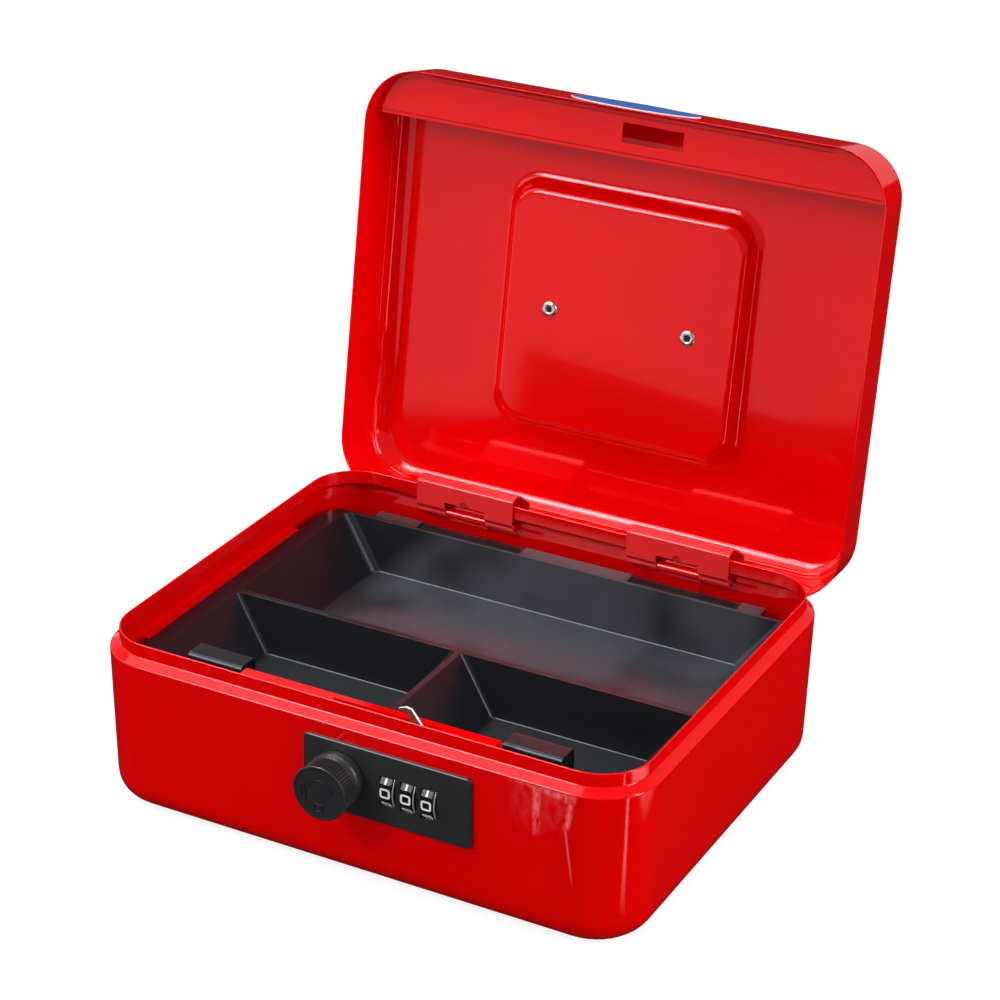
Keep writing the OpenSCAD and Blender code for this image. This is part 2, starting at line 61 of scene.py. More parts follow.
def look_from(place_mm, azimuth, elevation, roll, focal_px):
    a, e, r = (math.radians(v) for v in (azimuth, elevation, roll))
    forward = Vector((-math.sin(a) * math.cos(e), math.cos(a) * math.cos(e), -math.sin(e)))
    level = Vector((math.cos(a), math.sin(a), 0))
    up = level.cross(forward)
    right = level * math.cos(r) + up * math.sin(r)
    up = up * math.cos(r) - level * math.sin(r)
    data = bpy.data.cameras.new("camera")
    data.sensor_width = SENSOR_MM
    data.lens = focal_px / PICTURE_PX * SENSOR_MM
    data.clip_end = 20
    cam = bpy.data.objects.new("camera", data)
    turn = Matrix((right, up, -forward)).transposed().to_4x4()
    cam.matrix_world = Matrix.Translation(Vector(place_mm) * MM) @ turn
    bpy.context.scene.collection.objects.link(cam)
    bpy.context.scene.camera = cam
    return cam


camera = look_from((505.6, -940.5, 641.7), 27.588, 25.66, 1.132, 2871.85)
print("lens %.1f mm" % camera.data.lens)

# %% [markdown]
# ## Shader arithmetic
#
# Backdrop and paints are both drawn with a few masks. A mask is a number from
# 0 to 1 at each point. It comes from a distance measured along a direction
# and stretched between two limits, and masks are combined by multiplying.

# %% Masks
def math_node(tree, op, a, b=0.0):
    node = tree.nodes.new("ShaderNodeMath")
    node.operation = op
    for sock, value in zip(node.inputs, (a, b)):
        if isinstance(value, (int, float)):
            sock.default_value = value
        else:
            tree.links.new(value, sock)
    return node.outputs[0]


def product(tree, first, *rest):
    for value in rest:
        first = math_node(tree, "MULTIPLY", first, value)
    return first


def along(tree, direction, shift=0.0, place=None):
    node = tree.nodes.new("ShaderNodeVectorMath")
    node.operation = "DOT_PRODUCT"
    node.inputs[1].default_value = direction
    tree.links.new(place or tree.nodes.new("ShaderNodeNewGeometry").outputs["Position"], node.inputs[0])
    return math_node(tree, "ADD", node.outputs["Value"], shift)


def between(tree, value, start, stop):
    node = tree.nodes.new("ShaderNodeMapRange")
    node.inputs["From Min"].default_value = start
    node.inputs["From Max"].default_value = stop
    tree.links.new(value, node.inputs["Value"])
    return node.outputs["Result"]


def streak(tree, direction, shift, wide, thin, place=None):
    offset = math_node(tree, "ABSOLUTE", along(tree, direction, shift, place))
    return between(tree, offset, wide, thin)


def mix_by(tree, flag, plain, special):
    mix = tree.nodes.new("ShaderNodeMixShader")
    for sock, source in zip(mix.inputs, (flag, plain, special)):
        tree.links.new(source, sock)
    return mix.outputs[0]


print("mask tools:", [f.__name__ for f in (product, along, between, streak)])

# %% [markdown]
# ## Light and backdrop
#
# Glossy paint shows the room more than the lamp, so the room matters most.
# Light Path tells who is asking. The camera sees a white floor and a white
# world, while the object is lit by softer ones. A mirrored ray sees a third
# floor: a bright sheet that begins at a straight horizon, with a darker flag
# in it, and two bright lanes that draw the lines on the box's front corner.
# One lamp, line_box, also shows in reflections only.

# %% Studio
scene = bpy.context.scene
scene.view_settings.view_transform = "Standard"
world = bpy.data.worlds.new("studio")
scene.world = world
world.use_nodes = True
FLOOR_HALF = 6


def white_to_camera(tree, seen, soft, mirrored):
    tree.nodes.clear()
    path = tree.nodes.new("ShaderNodeLightPath")
    last = None
    for asks, strength in ((None, soft), ("Is Glossy Ray", mirrored), ("Is Camera Ray", seen)):
        sky = tree.nodes.new("ShaderNodeBackground")
        sky.inputs["Strength"].default_value = strength
        last = mix_by(tree, path.outputs[asks], last, sky.outputs[0]) if asks else sky.outputs[0]
    out = tree.nodes.new("ShaderNodeOutputWorld")
    tree.links.new(last, out.inputs["Surface"])


def mirrored_floor(tree):
    x, far = along(tree, (1, 0, 0)), along(tree, (-0.92, -0.39, 0))
    flag = product(tree, between(tree, far, 0.88, 0.84),
                   between(tree, along(tree, (0.39, -0.92, 0)), 0.592, 0.57),
                   between(tree, along(tree, (1.218, -0.569, 0)), -0.14, -0.125))
    sheet = product(tree, between(tree, far, 0.475, 0.52), math_node(tree, "SUBTRACT", 1.0, flag), 0.95)
    lane = product(tree, streak(tree, (0.44, 0.898, 0), -0.077, 0.045, 0.03), between(tree, x, 0.2, 0.3), 4.0)
    glint = product(tree, streak(tree, (0.243, 0.970, 0), 0.0587, 0.0045, 0.002),
                    between(tree, x, 0.138, 0.21), 5.0)
    total = 0.01
    for part in (sheet, lane, glint):
        total = math_node(tree, "ADD", total, part)
    return total


def floor_material():
    mat = bpy.data.materials.new("studio_floor")
    mat.use_nodes = True
    tree = mat.node_tree
    tree.nodes.clear()
    path, out, paint, glow, mirror, add = (tree.nodes.new("ShaderNode" + kind) for kind in (
        "LightPath", "OutputMaterial", "BsdfDiffuse", "Emission", "Emission", "AddShader"))
    paint.inputs["Color"].default_value = (0.34, 0.34, 0.34, 1)
    glow.inputs["Strength"].default_value = 0.8
    tree.links.new(paint.outputs[0], add.inputs[0])
    tree.links.new(glow.outputs[0], add.inputs[1])
    tree.links.new(mirrored_floor(tree), mirror.inputs["Strength"])
    white = mix_by(tree, path.outputs["Is Camera Ray"], paint.outputs[0], add.outputs[0])
    shown = mix_by(tree, path.outputs["Is Glossy Ray"], white, mirror.outputs[0])
    tree.links.new(shown, out.inputs["Surface"])
    return mat


def floor_plane():
    mesh = bpy.data.meshes.new("floor")
    s = FLOOR_HALF
    mesh.from_pydata([(-s, -s, 0), (s, -s, 0), (s, s, 0), (-s, s, 0)], [], [(0, 1, 2, 3)])
    mesh.materials.append(floor_material())
    obj = bpy.data.objects.new("floor", mesh)
    scene.collection.objects.link(obj)


def panel(name, place, aim, size, power, mirrored_only=False):
    lamp = bpy.data.lights.new(name, "AREA")
    lamp.shape = "RECTANGLE"
    lamp.size, lamp.size_y = size
    lamp.energy = power
    obj = bpy.data.objects.new(name, lamp)
    obj.location = place
    obj.visible_diffuse = not mirrored_only
    obj.rotation_euler = (Vector(aim) - Vector(place)).to_track_quat("-Z", "Y").to_euler()
    scene.collection.objects.link(obj)


white_to_camera(world.node_tree, seen=1.25, soft=0.74, mirrored=0.42)
floor_plane()
panel("top_strip", (-0.45, 0.12, 1.3), (-0.45, 0.12, 0), (1.5, 0.16), 6)
panel("top_soft", (-0.45, 0.55, 1.25), (-0.2, 0.1, 0.1), (1.5, 0.5), 2)
panel("ledge_box", (-0.55, -0.38, 1.3), (-0.2, 0, 0.1), (1.3, 0.5), 4.2)
panel("left_box", (-1.1, -0.5, 0.8), (0, 0, 0.1), (0.6, 0.9), 3)
panel("key_box", (-0.62, -1.05, 1.0), (0, -0.05, 0.1), (0.36, 0.3), 6)
panel("line_box", (-0.58, -1.0, 0.95), (0, -0.05, 0.1), (0.6, 0.75), 16, mirrored_only=True)
panel("right_strip", (1.3, 0.0, 0.6), (0.05, 0, 0.1), (0.25, 1.0), 11)

# %% [markdown]
# ## Shared finishes
#
# Sprayed and baked enamel is never a perfect mirror. Up close it has a faint
# skin like orange peel, and hands leave duller smears. Both effects are used
# by the red paint, the black plate and the plastic tray, so they are built
# once as node groups, and each material sets its own amounts.

# %% Node groups: skin and smears
def new_group(name, ins, outs):
    group = bpy.data.node_groups.new(name, "ShaderNodeTree")
    for label, value in ins:
        sock = group.interface.new_socket(label, in_out="INPUT", socket_type="NodeSocketFloat")
        sock.default_value = value
    group.interface.new_socket("Place", in_out="INPUT", socket_type="NodeSocketVector")
    for label in outs:
        group.interface.new_socket(label, in_out="OUTPUT", socket_type="NodeSocketFloat")
    return group, group.nodes.new("NodeGroupInput"), group.nodes.new("NodeGroupOutput")


def noise_node(tree, place, scale, detail=2.0):
    node = tree.nodes.new("ShaderNodeTexNoise")
    node.inputs["Detail"].default_value = detail
    tree.links.new(place, node.inputs["Vector"])
    if isinstance(scale, (int, float)):
        node.inputs["Scale"].default_value = scale
    else:
        tree.links.new(scale, node.inputs["Scale"])
    return node.outputs["Fac"]


def build_skin():
    group, gin, gout = new_group("sprayed_skin", [("Scale", 900.0), ("Fine", 0.35)], ["Height"])
    place, scale, fine = (gin.outputs[label] for label in ("Place", "Scale", "Fine"))
    soft = noise_node(group, place, scale)
    grain = noise_node(group, place, product(group, scale, 3.7))
    height = math_node(group, "ADD", soft, product(group, grain, fine))
    group.links.new(height, gout.inputs["Height"])
    return group


def build_smears():
    inputs = [("Scale", 22.0), ("Base", 0.1), ("Amount", 0.1)]
    group, gin, gout = new_group("handling_smears", inputs, ["Roughness"])
    cloud = noise_node(group, gin.outputs["Place"], gin.outputs["Scale"], 4.0)
    spread = product(group, math_node(group, "SUBTRACT", cloud, 0.45), gin.outputs["Amount"])
    rough = math_node(group, "ADD", math_node(group, "MAXIMUM", spread, 0.0), gin.outputs["Base"])
    group.links.new(rough, gout.inputs["Roughness"])
    return group


skin_group = build_skin()
smear_group = build_smears()
print("groups:", [g.name for g in bpy.data.node_groups])

# %% [markdown]
# A finish is a Principled BSDF fed by those groups. Numbers that are the same
# everywhere, such as coat or specular level, sit on the shader itself. The
# sheen is the tint of its reflections: enamel mirrors the room in red. Skin
# is given as scale, strength and depth.

# %% A maker for finishes
CLOUD_SCALE, CLOUD_LOW, CLOUD_HIGH = 30.0, 0.3, 0.7


def fill(node, values):
    for label, value in values.items():
        node.inputs[label].default_value = value


def group_node(tree, group, place, **values):
    node = tree.nodes.new("ShaderNodeGroup")
    node.node_tree = group
    fill(node, values)
    tree.links.new(place, node.inputs["Place"])
    return node.outputs[0]


def finish(name, color, rough, skin=None, smear=0.1, metallic=0.0, coat=0.0, coat_rough=0.05,
           tint=0.04, spec=0.5, sheen=(1, 1, 1)):
    mat = bpy.data.materials.new(name)
    mat.use_nodes = True
    tree = mat.node_tree
    shader = tree.nodes["Principled BSDF"]
    place = tree.nodes.new("ShaderNodeTexCoord").outputs["Object"]
    fill(shader, {"Metallic": metallic, "Coat Weight": coat, "Coat Roughness": coat_rough,
                  "Specular IOR Level": spec, "Specular Tint": (*sheen, 1)})
    ramp = tree.nodes.new("ShaderNodeValToRGB")
    stops = zip(ramp.color_ramp.elements, (CLOUD_LOW, CLOUD_HIGH), (1 - tint, 1 + tint))
    for stop, position, gain in stops:
        stop.position = position
        stop.color = [min(1, c * gain) for c in color] + [1]
    tree.links.new(noise_node(tree, place, CLOUD_SCALE, 3.0), ramp.inputs[0])
    tree.links.new(ramp.outputs[0], shader.inputs["Base Color"])
    smears = group_node(tree, smear_group, place, Base=rough, Amount=smear)
    tree.links.new(smears, shader.inputs["Roughness"])
    if skin:
        scale, strength, depth = skin
        bump = tree.nodes.new("ShaderNodeBump")
        fill(bump, {"Strength": strength, "Distance": depth})
        tree.links.new(group_node(tree, skin_group, place, Scale=scale), bump.inputs["Height"])
        tree.links.new(bump.outputs["Normal"], shader.inputs["Normal"])
    return mat


ENAMEL = dict(skin=(520, 0.05, 0.0004), smear=0.08, coat=0.35, coat_rough=0.03, tint=0.02, spec=1.0,
              sheen=(1, 0.1, 0.12))
RED = finish("red_enamel", (0.80, 0.0002, 0.0010), 0.09, **ENAMEL)
# The hinge leaves use a paler copy of the red enamel. The extra lightness is painted light: it stands in for
# the light the leaves catch.
LEAF_RED_PAINTED_LIGHT = finish("hinge_enamel_painted_light", (0.92, 0.030, 0.034), 0.12, **ENAMEL)
PLATE = finish("satin_black", (0.027, 0.027, 0.0285), 0.3, (2600, 0.25, 0.0002), 0.12, tint=0.1)
KNOB = finish("knob_black", (0.023, 0.023, 0.0248), 0.3, (2200, 0.15, 0.0002), 0.12, tint=0.1,
              spec=0.45, sheen=(0.8, 0.92, 1))
DIAL = finish("dial_black", (0.010, 0.010, 0.011), 0.36, (2200, 0.12, 0.0002), tint=0.1, spec=0.25)
TRAY = finish("tray_black", (0.0085, 0.0085, 0.0108), 0.3, (1500, 0.10, 0.0003), 0.2, tint=0.15,
              spec=0.42, sheen=(0.8, 0.88, 1))
ZINC = finish("zinc_plate", (0.62, 0.63, 0.65), 0.26, (1800, 0.12, 0.0002), 0.2, 1.0, tint=0.06)
BRONZE = finish("passivated_zinc", (0.22, 0.13, 0.09), 0.4, (1800, 0.12, 0.0002), 0.2, 0.8, tint=0.12)
NICKEL = finish("nickel_plate", (0.74, 0.72, 0.68), 0.16, (1500, 0.06, 0.0002), 0.15, 1.0)
BRIGHT = finish("cut_edge", (0.9, 0.9, 0.88), 0.3, metallic=0.3, tint=0.02)
FIGURE = finish("figure_white", (0.86, 0.86, 0.85), 0.35, tint=0.02)
EDGE_STEEL = finish("rim_steel", (0.72, 0.72, 0.72), 0.3, metallic=0.6, tint=0.02)
BLUE = finish("label_blue", (0.010, 0.115, 0.52), 0.3, coat=0.4)
EDGE = finish("label_white", (0.82, 0.83, 0.85), 0.25, coat=0.4, tint=0.02)
print("finishes:", len(bpy.data.materials))

# %% [markdown]
# Two finishes change from place to place. The front wall has pale smears:
# the light that smudges on the paint catch is painted in as a paler red, a
# painted highlight in a band under the shoulder, a drop, a slanted edge and a
# thin tail, all broken up by a stretched noise. The tray's rear pocket has a
# cloudy painted sheen, a lighter blue-grey for the light it reflects. Both are
# masks in Object coordinates that lay a second colour over the first.

# %% Painted highlight and painted sheen
def overlay(mat, color, reach):
    tree = mat.node_tree
    shader = tree.nodes["Principled BSDF"]
    mix = tree.nodes.new("ShaderNodeMix")
    mix.data_type = "RGBA"
    tree.links.new(reach, mix.inputs[0])
    tree.links.new(shader.inputs["Base Color"].links[0].from_socket, mix.inputs[6])
    mix.inputs[7].default_value = (*color, 1)
    tree.links.new(mix.outputs[2], shader.inputs["Base Color"])


def within(tree, place, axis, start, stop):
    direction = [float(axis == letter) for letter in "xyz"]
    return between(tree, along(tree, direction, 0.0, place), start, stop)


# Smears on the front wall: their reflected light is a painted highlight, laid in as a paler red base colour.
def painted_smear_highlight(mat, color):
    tree = mat.node_tree
    place = tree.nodes.new("ShaderNodeTexCoord").outputs["Object"]

    def mask(*limits):
        return [within(tree, place, *limit) for limit in limits]

    band = product(tree, between(tree, along(tree, (0.13, 0, 1), -0.0777, place), 0.0, 0.0022),
                   *mask(("x", 0.070, 0.078), ("x", 0.1005, 0.099)))
    drop = product(tree, streak(tree, (1, 0, 0), -0.0845, 0.0022, 0.0006, place),
                   *mask(("z", 0.046, 0.054)))
    edge = product(tree, streak(tree, (1, 0, -0.2), -0.0864, 0.0019, 0.0005, place),
                   *mask(("z", 0.0525, 0.055)))
    haze = product(tree, *mask(("x", 0.071, 0.078), ("x", 0.0985, 0.095), ("z", 0.046, 0.062)), 0.13)
    tail = product(tree, streak(tree, (1, 0, 0.136), -0.1044, 0.0006, 0.0001, place),
                   *mask(("z", 0.056, 0.052), ("z", 0.028, 0.040)), 0.7)
    marks = band
    for part in (drop, edge, haze):
        marks = math_node(tree, "MAXIMUM", marks, part)
    squash = tree.nodes.new("ShaderNodeVectorMath")
    squash.operation = "MULTIPLY"
    squash.inputs[1].default_value = (1, 1, 0.45)
    tree.links.new(place, squash.inputs[0])
    grain = between(tree, noise_node(tree, squash.outputs[0], 420.0, 4.0), 0.36, 0.60)
    marks = math_node(tree, "MAXIMUM", product(tree, marks, grain), tail)
    overlay(mat, color, product(tree, marks, *mask(("y", -0.0965, -0.098), ("z", 0.0698, 0.0690))))


# A cloudy lighter blue-grey on the tray's rear pocket: painted sheen that stands in for the light the plastic
# reflects there.
def painted_sheen(mat, color):
    tree = mat.node_tree
    place = tree.nodes.new("ShaderNodeTexCoord").outputs["Object"]
    reach = product(tree, within(tree, place, "y", -0.001, 0.010), within(tree, place, "x", 0.106, 0.093),
                    between(tree, along(tree, (1, 0, -1), 0.0, place), -0.131, -0.115),
                    between(tree, noise_node(tree, place, 26.0, 1.0), 0.22, 0.56))
    overlay(mat, color, reach)


# Paler red on the front wall: the painted highlight of the smears.
painted_smear_highlight(RED, (1.0, 0.17, 0.185))
# Lighter blue-grey in the tray's rear pocket: painted sheen.
painted_sheen(TRAY, (0.046, 0.047, 0.057))
print("red nodes:", len(RED.node_tree.nodes), "tray nodes:", len(TRAY.node_tree.nodes))

# %% [markdown]
# ## Tools for sheet metal
#
# Every pressed shell here is a stack of rounded rectangles: one outline per
# height, all with the same number of points, joined ring to ring. That gives
# clean quads that follow the bends, so reflections run smoothly. Large flat
# faces next to small bends would still shade as if they were swollen, and
# the Weighted Normal modifier cures that by letting the big faces win. Round
# parts are lofts too, from circles set along an axis.

# %% Rings, lofts and pieces
STEPS = 10


def ring(x0, x1, y0, y1, r, z):
    pts = []
    corners = ((x1 - r, y1 - r, 0), (x0 + r, y1 - r, 90), (x0 + r, y0 + r, 180), (x1 - r, y0 + r, 270))
    for cx, cy, start in corners:
        for i in range(STEPS + 1):
            a = math.radians(start + 90 * i / STEPS)
            pts.append((cx + r * math.cos(a), cy + r * math.sin(a), z))
    return pts


def centred(hx, hy, r, z):
    return ring(-hx, hx, -hy, hy, r, z)


def loft(rings, cap_first=True, cap_last=True):
    n = len(rings[0])
    verts = [p for pts in rings for p in pts]
    faces = [(k * n + i, k * n + (i + 1) % n, (k + 1) * n + (i + 1) % n, (k + 1) * n + i)
             for k in range(len(rings) - 1) for i in range(n)]
    if cap_first:
        faces.append(tuple(reversed(range(n))))
    if cap_last:
        faces.append(tuple(range((len(rings) - 1) * n, len(rings) * n)))
    return verts, faces


def circle(r, n):
    return [(r * math.cos(2 * math.pi * i / n), r * math.sin(2 * math.pi * i / n)) for i in range(n)]


PLACES = {"x": lambda u, v, d, a, b: (d, a + u, b + v),
          "y": lambda u, v, d, a, b: (a + u, d, b + v),
          "z": lambda u, v, d, a, b: (a + u, b + v, d)}


def turned(profile, axis, a, b, n, closed=False):
    """Turn (radius, distance) pairs about an axis that runs through a and b."""
    place = PLACES[axis]
    rings = [[place(u, v, d, a, b) for u, v in circle(r, n)] for r, d in profile]
    return loft(rings + rings[:1], False, False) if closed else loft(rings)


def rod(axis, a, b, d0, d1, r, n=48):
    return turned([(r, d0), (r, d1)], axis, a, b, n)


def join(*parts):
    verts, faces = [], []
    for v, f in parts:
        k = len(verts)
        verts += v
        faces += [tuple(i + k for i in face) for face in f]
    return verts, faces


def piece(name, verts, faces, material, body=None, replaces=(), slot=None, turn=None, smooth=True):
    mesh = bpy.data.meshes.new(name)
    if turn:
        verts = [turn(v) for v in verts]
    mesh.from_pydata([tuple(c * MM for c in v) for v in verts], [], faces)
    for mat in material if isinstance(material, list) else [material]:
        mesh.materials.append(mat)
    obj = bpy.data.objects.new(name, mesh)
    scene.collection.objects.link(obj)
    bm = bmesh.new()
    bm.from_mesh(mesh)
    bmesh.ops.remove_doubles(bm, verts=bm.verts, dist=1e-7)
    bmesh.ops.recalc_face_normals(bm, faces=bm.faces)
    for face in bm.faces:
        face.smooth = smooth
    bm.to_mesh(mesh)
    bm.free()
    if body:
        claim(obj, body, replaces, slot)
    return obj


def claim(obj, body, replaces, slot):
    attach(obj, body)
    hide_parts(*replaces)


def add_modifiers(obj, modifiers):
    for kind, values in modifiers:
        mod = obj.modifiers.new(kind.lower(), kind)
        for key, value in values.items():
            setattr(mod, key, value)


def settle(obj, *modifiers):
    add_modifiers(obj, modifiers)
    deps = bpy.context.evaluated_depsgraph_get()
    deps.update()
    mesh = bpy.data.meshes.new_from_object(obj.evaluated_get(deps))
    obj.modifiers.clear()
    obj.data = mesh
    return obj


def weld_into(target, *others):
    parts = [target, *others]
    with bpy.context.temp_override(active_object=target, selected_editable_objects=parts,
                                   selected_objects=parts):
        bpy.ops.object.join()
    return target


WEIGH = ("WEIGHTED_NORMAL", {"mode": "FACE_AREA", "weight": 60, "keep_sharp": True})


def bevel(width, segments=2, angle=30):
    return ("BEVEL", {"width": width * MM, "segments": segments, "limit_method": "ANGLE",
                      "angle_limit": math.radians(angle), "harden_normals": False})


def arc(cx, cy, r, a0, a1, n=6):
    angles = [math.radians(a0 + (a1 - a0) * i / n) for i in range(n + 1)]
    return [(cx + r * math.cos(a), cy + r * math.sin(a)) for a in angles]


print("points in a ring:", len(centred(10, 10, 2, 0)))

# %% [markdown]
# ## Folded strips and holes
#
# The hinges and the striker are flat sheet folded along straight lines. A
# helper takes the fold line as a path, rounds each corner with a small arc,
# gives it thickness and pulls it along X. Holes are cut with simple solids
# that are thrown away after the cut.

# %% Folding and cutting
T = 0.8


def soften(path, r, n=5):
    pts = [path[0]]
    for a, b, c in zip(path, path[1:], path[2:]):
        a, b, c = Vector(a), Vector(b), Vector(c)
        u, v = (a - b), (c - b)
        half = u.angle(v) / 2
        cut = min(r / math.tan(half), u.length * 0.49, v.length * 0.49)
        start, end = b + u.normalized() * cut, b + v.normalized() * cut
        for i in range(n + 1):
            s = i / n
            pts.append(tuple((1 - s) ** 2 * start + 2 * s * (1 - s) * b + s * s * end))
    pts.append(path[-1])
    return pts


def thicken(path, t):
    left, right = [], []
    for i, p in enumerate(path):
        d = Vector(path[min(i + 1, len(path) - 1)]) - Vector(path[max(i - 1, 0)])
        n = Vector((-d.y, d.x)).normalized() * t / 2
        left.append((p[0] + n.x, p[1] + n.y))
        right.append((p[0] - n.x, p[1] - n.y))
    return left + right[::-1]


def slab(outline, lo, hi, place):
    n = len(outline)
    verts = [place(u, v, d) for d in (lo, hi) for u, v in outline]
    faces = [(i, (i + 1) % n, n + (i + 1) % n, n + i) for i in range(n)]
    for k in range(n // 2 - 1):
        a, b, c, d = k, k + 1, n - 2 - k, n - 1 - k
        faces += [(a, d, c, b), (n + a, n + b, n + c, n + d)]
    return verts, faces


def pull(outline, x0, x1):
    return slab(outline, x0, x1, lambda y, z, x: (x, y, z))


def fold(path, x0, x1, r, t=T):
    return pull(thicken(soften(path, r), t), x0, x1)


def block(x0, x1, y0, y1, z0, z1):
    return pull([(y0, z0), (y1, z0), (y1, z1), (y0, z1)], x0, x1)


def carve(obj, *solids):
    for verts, faces in solids:
        tool = piece("cutter", verts, faces, PLATE, smooth=False)
        settle(obj, ("BOOLEAN", {"operation": "DIFFERENCE", "object": tool, "solver": "EXACT"}))
        bpy.data.objects.remove(tool)


print("a right angle softens to", len(soften([(0, 0), (1, 0), (1, 1)], 0.2)), "points")

# %% [markdown]
# ## Shared sizes
#
# The lid is drawn shut, in the same way as its twin in CAD, and each point is
# then swung back about the hinge pin. Keeping that swing in one function
# means the lid, its striker and its handle can never disagree.

# %% Shared sizes and the swing of the lid
HW, HD = 125.0, 100.0
NECK_TOP = 78.6
LID_Z, LID_TOP = 71.9, 101.4
KY, KZ = 97.0, 66.6
OPEN = math.radians(98.5)
KNOB_X, KNOB_Z, BUSH_R = -2.2, 48.8, 5.1
DIAL_X, DIAL_Y, DIAL_Z, PITCH = 28.8, -91.8, 47.4, 9.3


def opened(p):
    y, z = p[1] - KY, p[2] - KZ
    return (p[0], KY + math.cos(OPEN) * y + math.sin(OPEN) * z,
            KZ - math.sin(OPEN) * y + math.cos(OPEN) * z)


print("lid front edge stands at z = %.1f mm" % opened((0, -HD, LID_Z))[2])

# %% [markdown]
# ## The box
#
# The body is one deep-drawn pressing: a floor with a generous bend, walls
# that lean out slightly, a shoulder, and a neck that the lid closes over.
# One closed profile runs up the outside, over the rim and down the inside.
# Each row of it is an inset, a corner radius and a height.

# %% Body shell
CORNER, FOOT_BEND, LEAN = 26, 12, 1.2
SHOULDER_Z, SHOULDER_TURN = 69.46, 56.5
RIM = NECK_TOP - 0.4


def foot_rows(o):
    q, rows = FOOT_BEND - o, []
    for i in range(9):
        a = math.radians(90 * i / 8)
        rows.append((LEAN + FOOT_BEND - q * math.sin(a), CORNER - 1 - FOOT_BEND + q * math.sin(a),
                     FOOT_BEND - q * math.cos(a)))
    return rows


def body_rings():
    outside, inside = foot_rows(0.0), foot_rows(T)
    for i in range(5):
        a = math.radians(SHOULDER_TURN * i / 4)
        outside.append((1 - math.cos(a), CORNER - 1 + math.cos(a), SHOULDER_Z + math.sin(a)))
    outside += [(3.55, 22.45, 72.35), (3.9, 22.1, 72.75), (4.0, 22.0, 73.2), (4.0, 22.0, RIM),
                (4.12, 21.88, NECK_TOP - 0.12), (4.4, 21.6, NECK_TOP)]
    inside += [(0.8, 25.2, 69.2), (0.9, 25.1, 69.63), (3.99, 22.01, 71.68), (4.6, 21.4, 72.1),
               (4.8, 21.2, 72.7), (4.8, 21.2, RIM), (4.68, 21.32, NECK_TOP - 0.12)]
    return [centred(HW - inset, HD - inset, r, z) for inset, r, z in outside + inside[::-1]]


body = piece("box_shell", *loft(body_rings()), RED, "base", ["body_shell"], "red_paint")
carve(body, block(15.5, 42.1, -101, -96, 38.2, 56.6), rod("y", KNOB_X, KNOB_Z, -101, -96, BUSH_R))
settle(body, WEIGH)
print("body faces:", len(body.data.polygons))

# %% [markdown]
# ## The lid
#
# The lid is a second pressing with a wide soft bend round its top, and a
# recess in the middle where the folded handle lies. Seen from inside, as here,
# the recess is a raised plateau with its own soft edge. Its section is drawn
# twice, once outside and once a sheet's thickness further in.

# %% Lid shell
DISH, RUN, FINE, HEM = 8.0, 9.3, 7, 0.35
OUTER_BEND, INNER_BEND, BEAD = 6, 9.0, 4.0
LEAN_X, LEAN_Y = 2.1, 1.6
BEAD_TURN = math.radians(60)


def lid_section(o):
    rows = [(HW - o, HD - o, CORNER - o, z) for z in ((LID_Z + HEM,) if o else (LID_Z, LID_Z + HEM))]
    q = INNER_BEND if o else OUTER_BEND
    foot = LID_TOP - o - q
    share = (foot - LID_Z) / (LID_TOP - OUTER_BEND - LID_Z)
    for i in range(FINE + 2):
        a = math.radians(90 * i / (FINE + 1))
        g = q * (1 - math.cos(a))
        rows.append((HW - LEAN_X * share - o - g, HD - LEAN_Y * share - o - g,
                     CORNER - 3 * share - o - g * 0.9, foot + q * math.sin(a)))
    top = LID_TOP - o
    fx, fy = 53.8 + o * 0.58, 50.5 + o * 0.58
    turns = [BEAD_TURN * i / FINE for i in range(FINE + 1)]
    for a in turns:
        g = (BEAD + o) * math.sin(a)
        rows.append((fx + RUN - g, fy + RUN - g, 17 - g * 0.76, top - BEAD * (1 - math.cos(a))))
    for a in reversed(turns):
        g = BEAD * math.sin(a)
        rows.append((fx + g, fy + g, 10 + g * 0.76, top - DISH + BEAD * (1 - math.cos(a))))
    return rows


def lid_rings():
    hem = [(HW - inset, HD - inset, CORNER - inset, LID_Z) for inset in (0.1, T / 2)]
    return [centred(*row) for row in lid_section(0.0)[::-1] + hem + lid_section(T)]


lid = piece("lid_skin", *loft(lid_rings()), RED, "lid", ["lid_shell"], "red_paint", turn=opened)
settle(lid, WEIGH)
print("lid faces:", len(lid.data.polygons))

# %% [markdown]
# ## Hinges
#
# Each leaf rises behind the neck, arches over the rim and runs down into the
# lid. Its window shows the knuckle that belongs to the box, with the pin
# through both. A half-round notch at the top of the window gives the tool
# room when the knuckles are rolled.

# %% Hinge leaves
LEAF_Y, LEAF_X0, LEAF_X1, WINDOW_HX = 94.3, 28.6, 77.9, 10.25


def lid_wall(z):
    return HD - T - (z - LID_Z) * LEAN_Y / (LID_TOP - OUTER_BEND - LID_Z)


def leaf_path():
    foot = [opened((0, lid_wall(z) - T / 2, z))[1:] for z in (82.6, 92)]
    return [(95.35, 66.6), (95.35, 67.8), (LEAF_Y - 0.3, 69.8), (LEAF_Y + 0.1, 80.9), (98.6, 82.0),
            (101.8, 80.9), (111.5, 73.8), (111.5, 66.6)] + foot


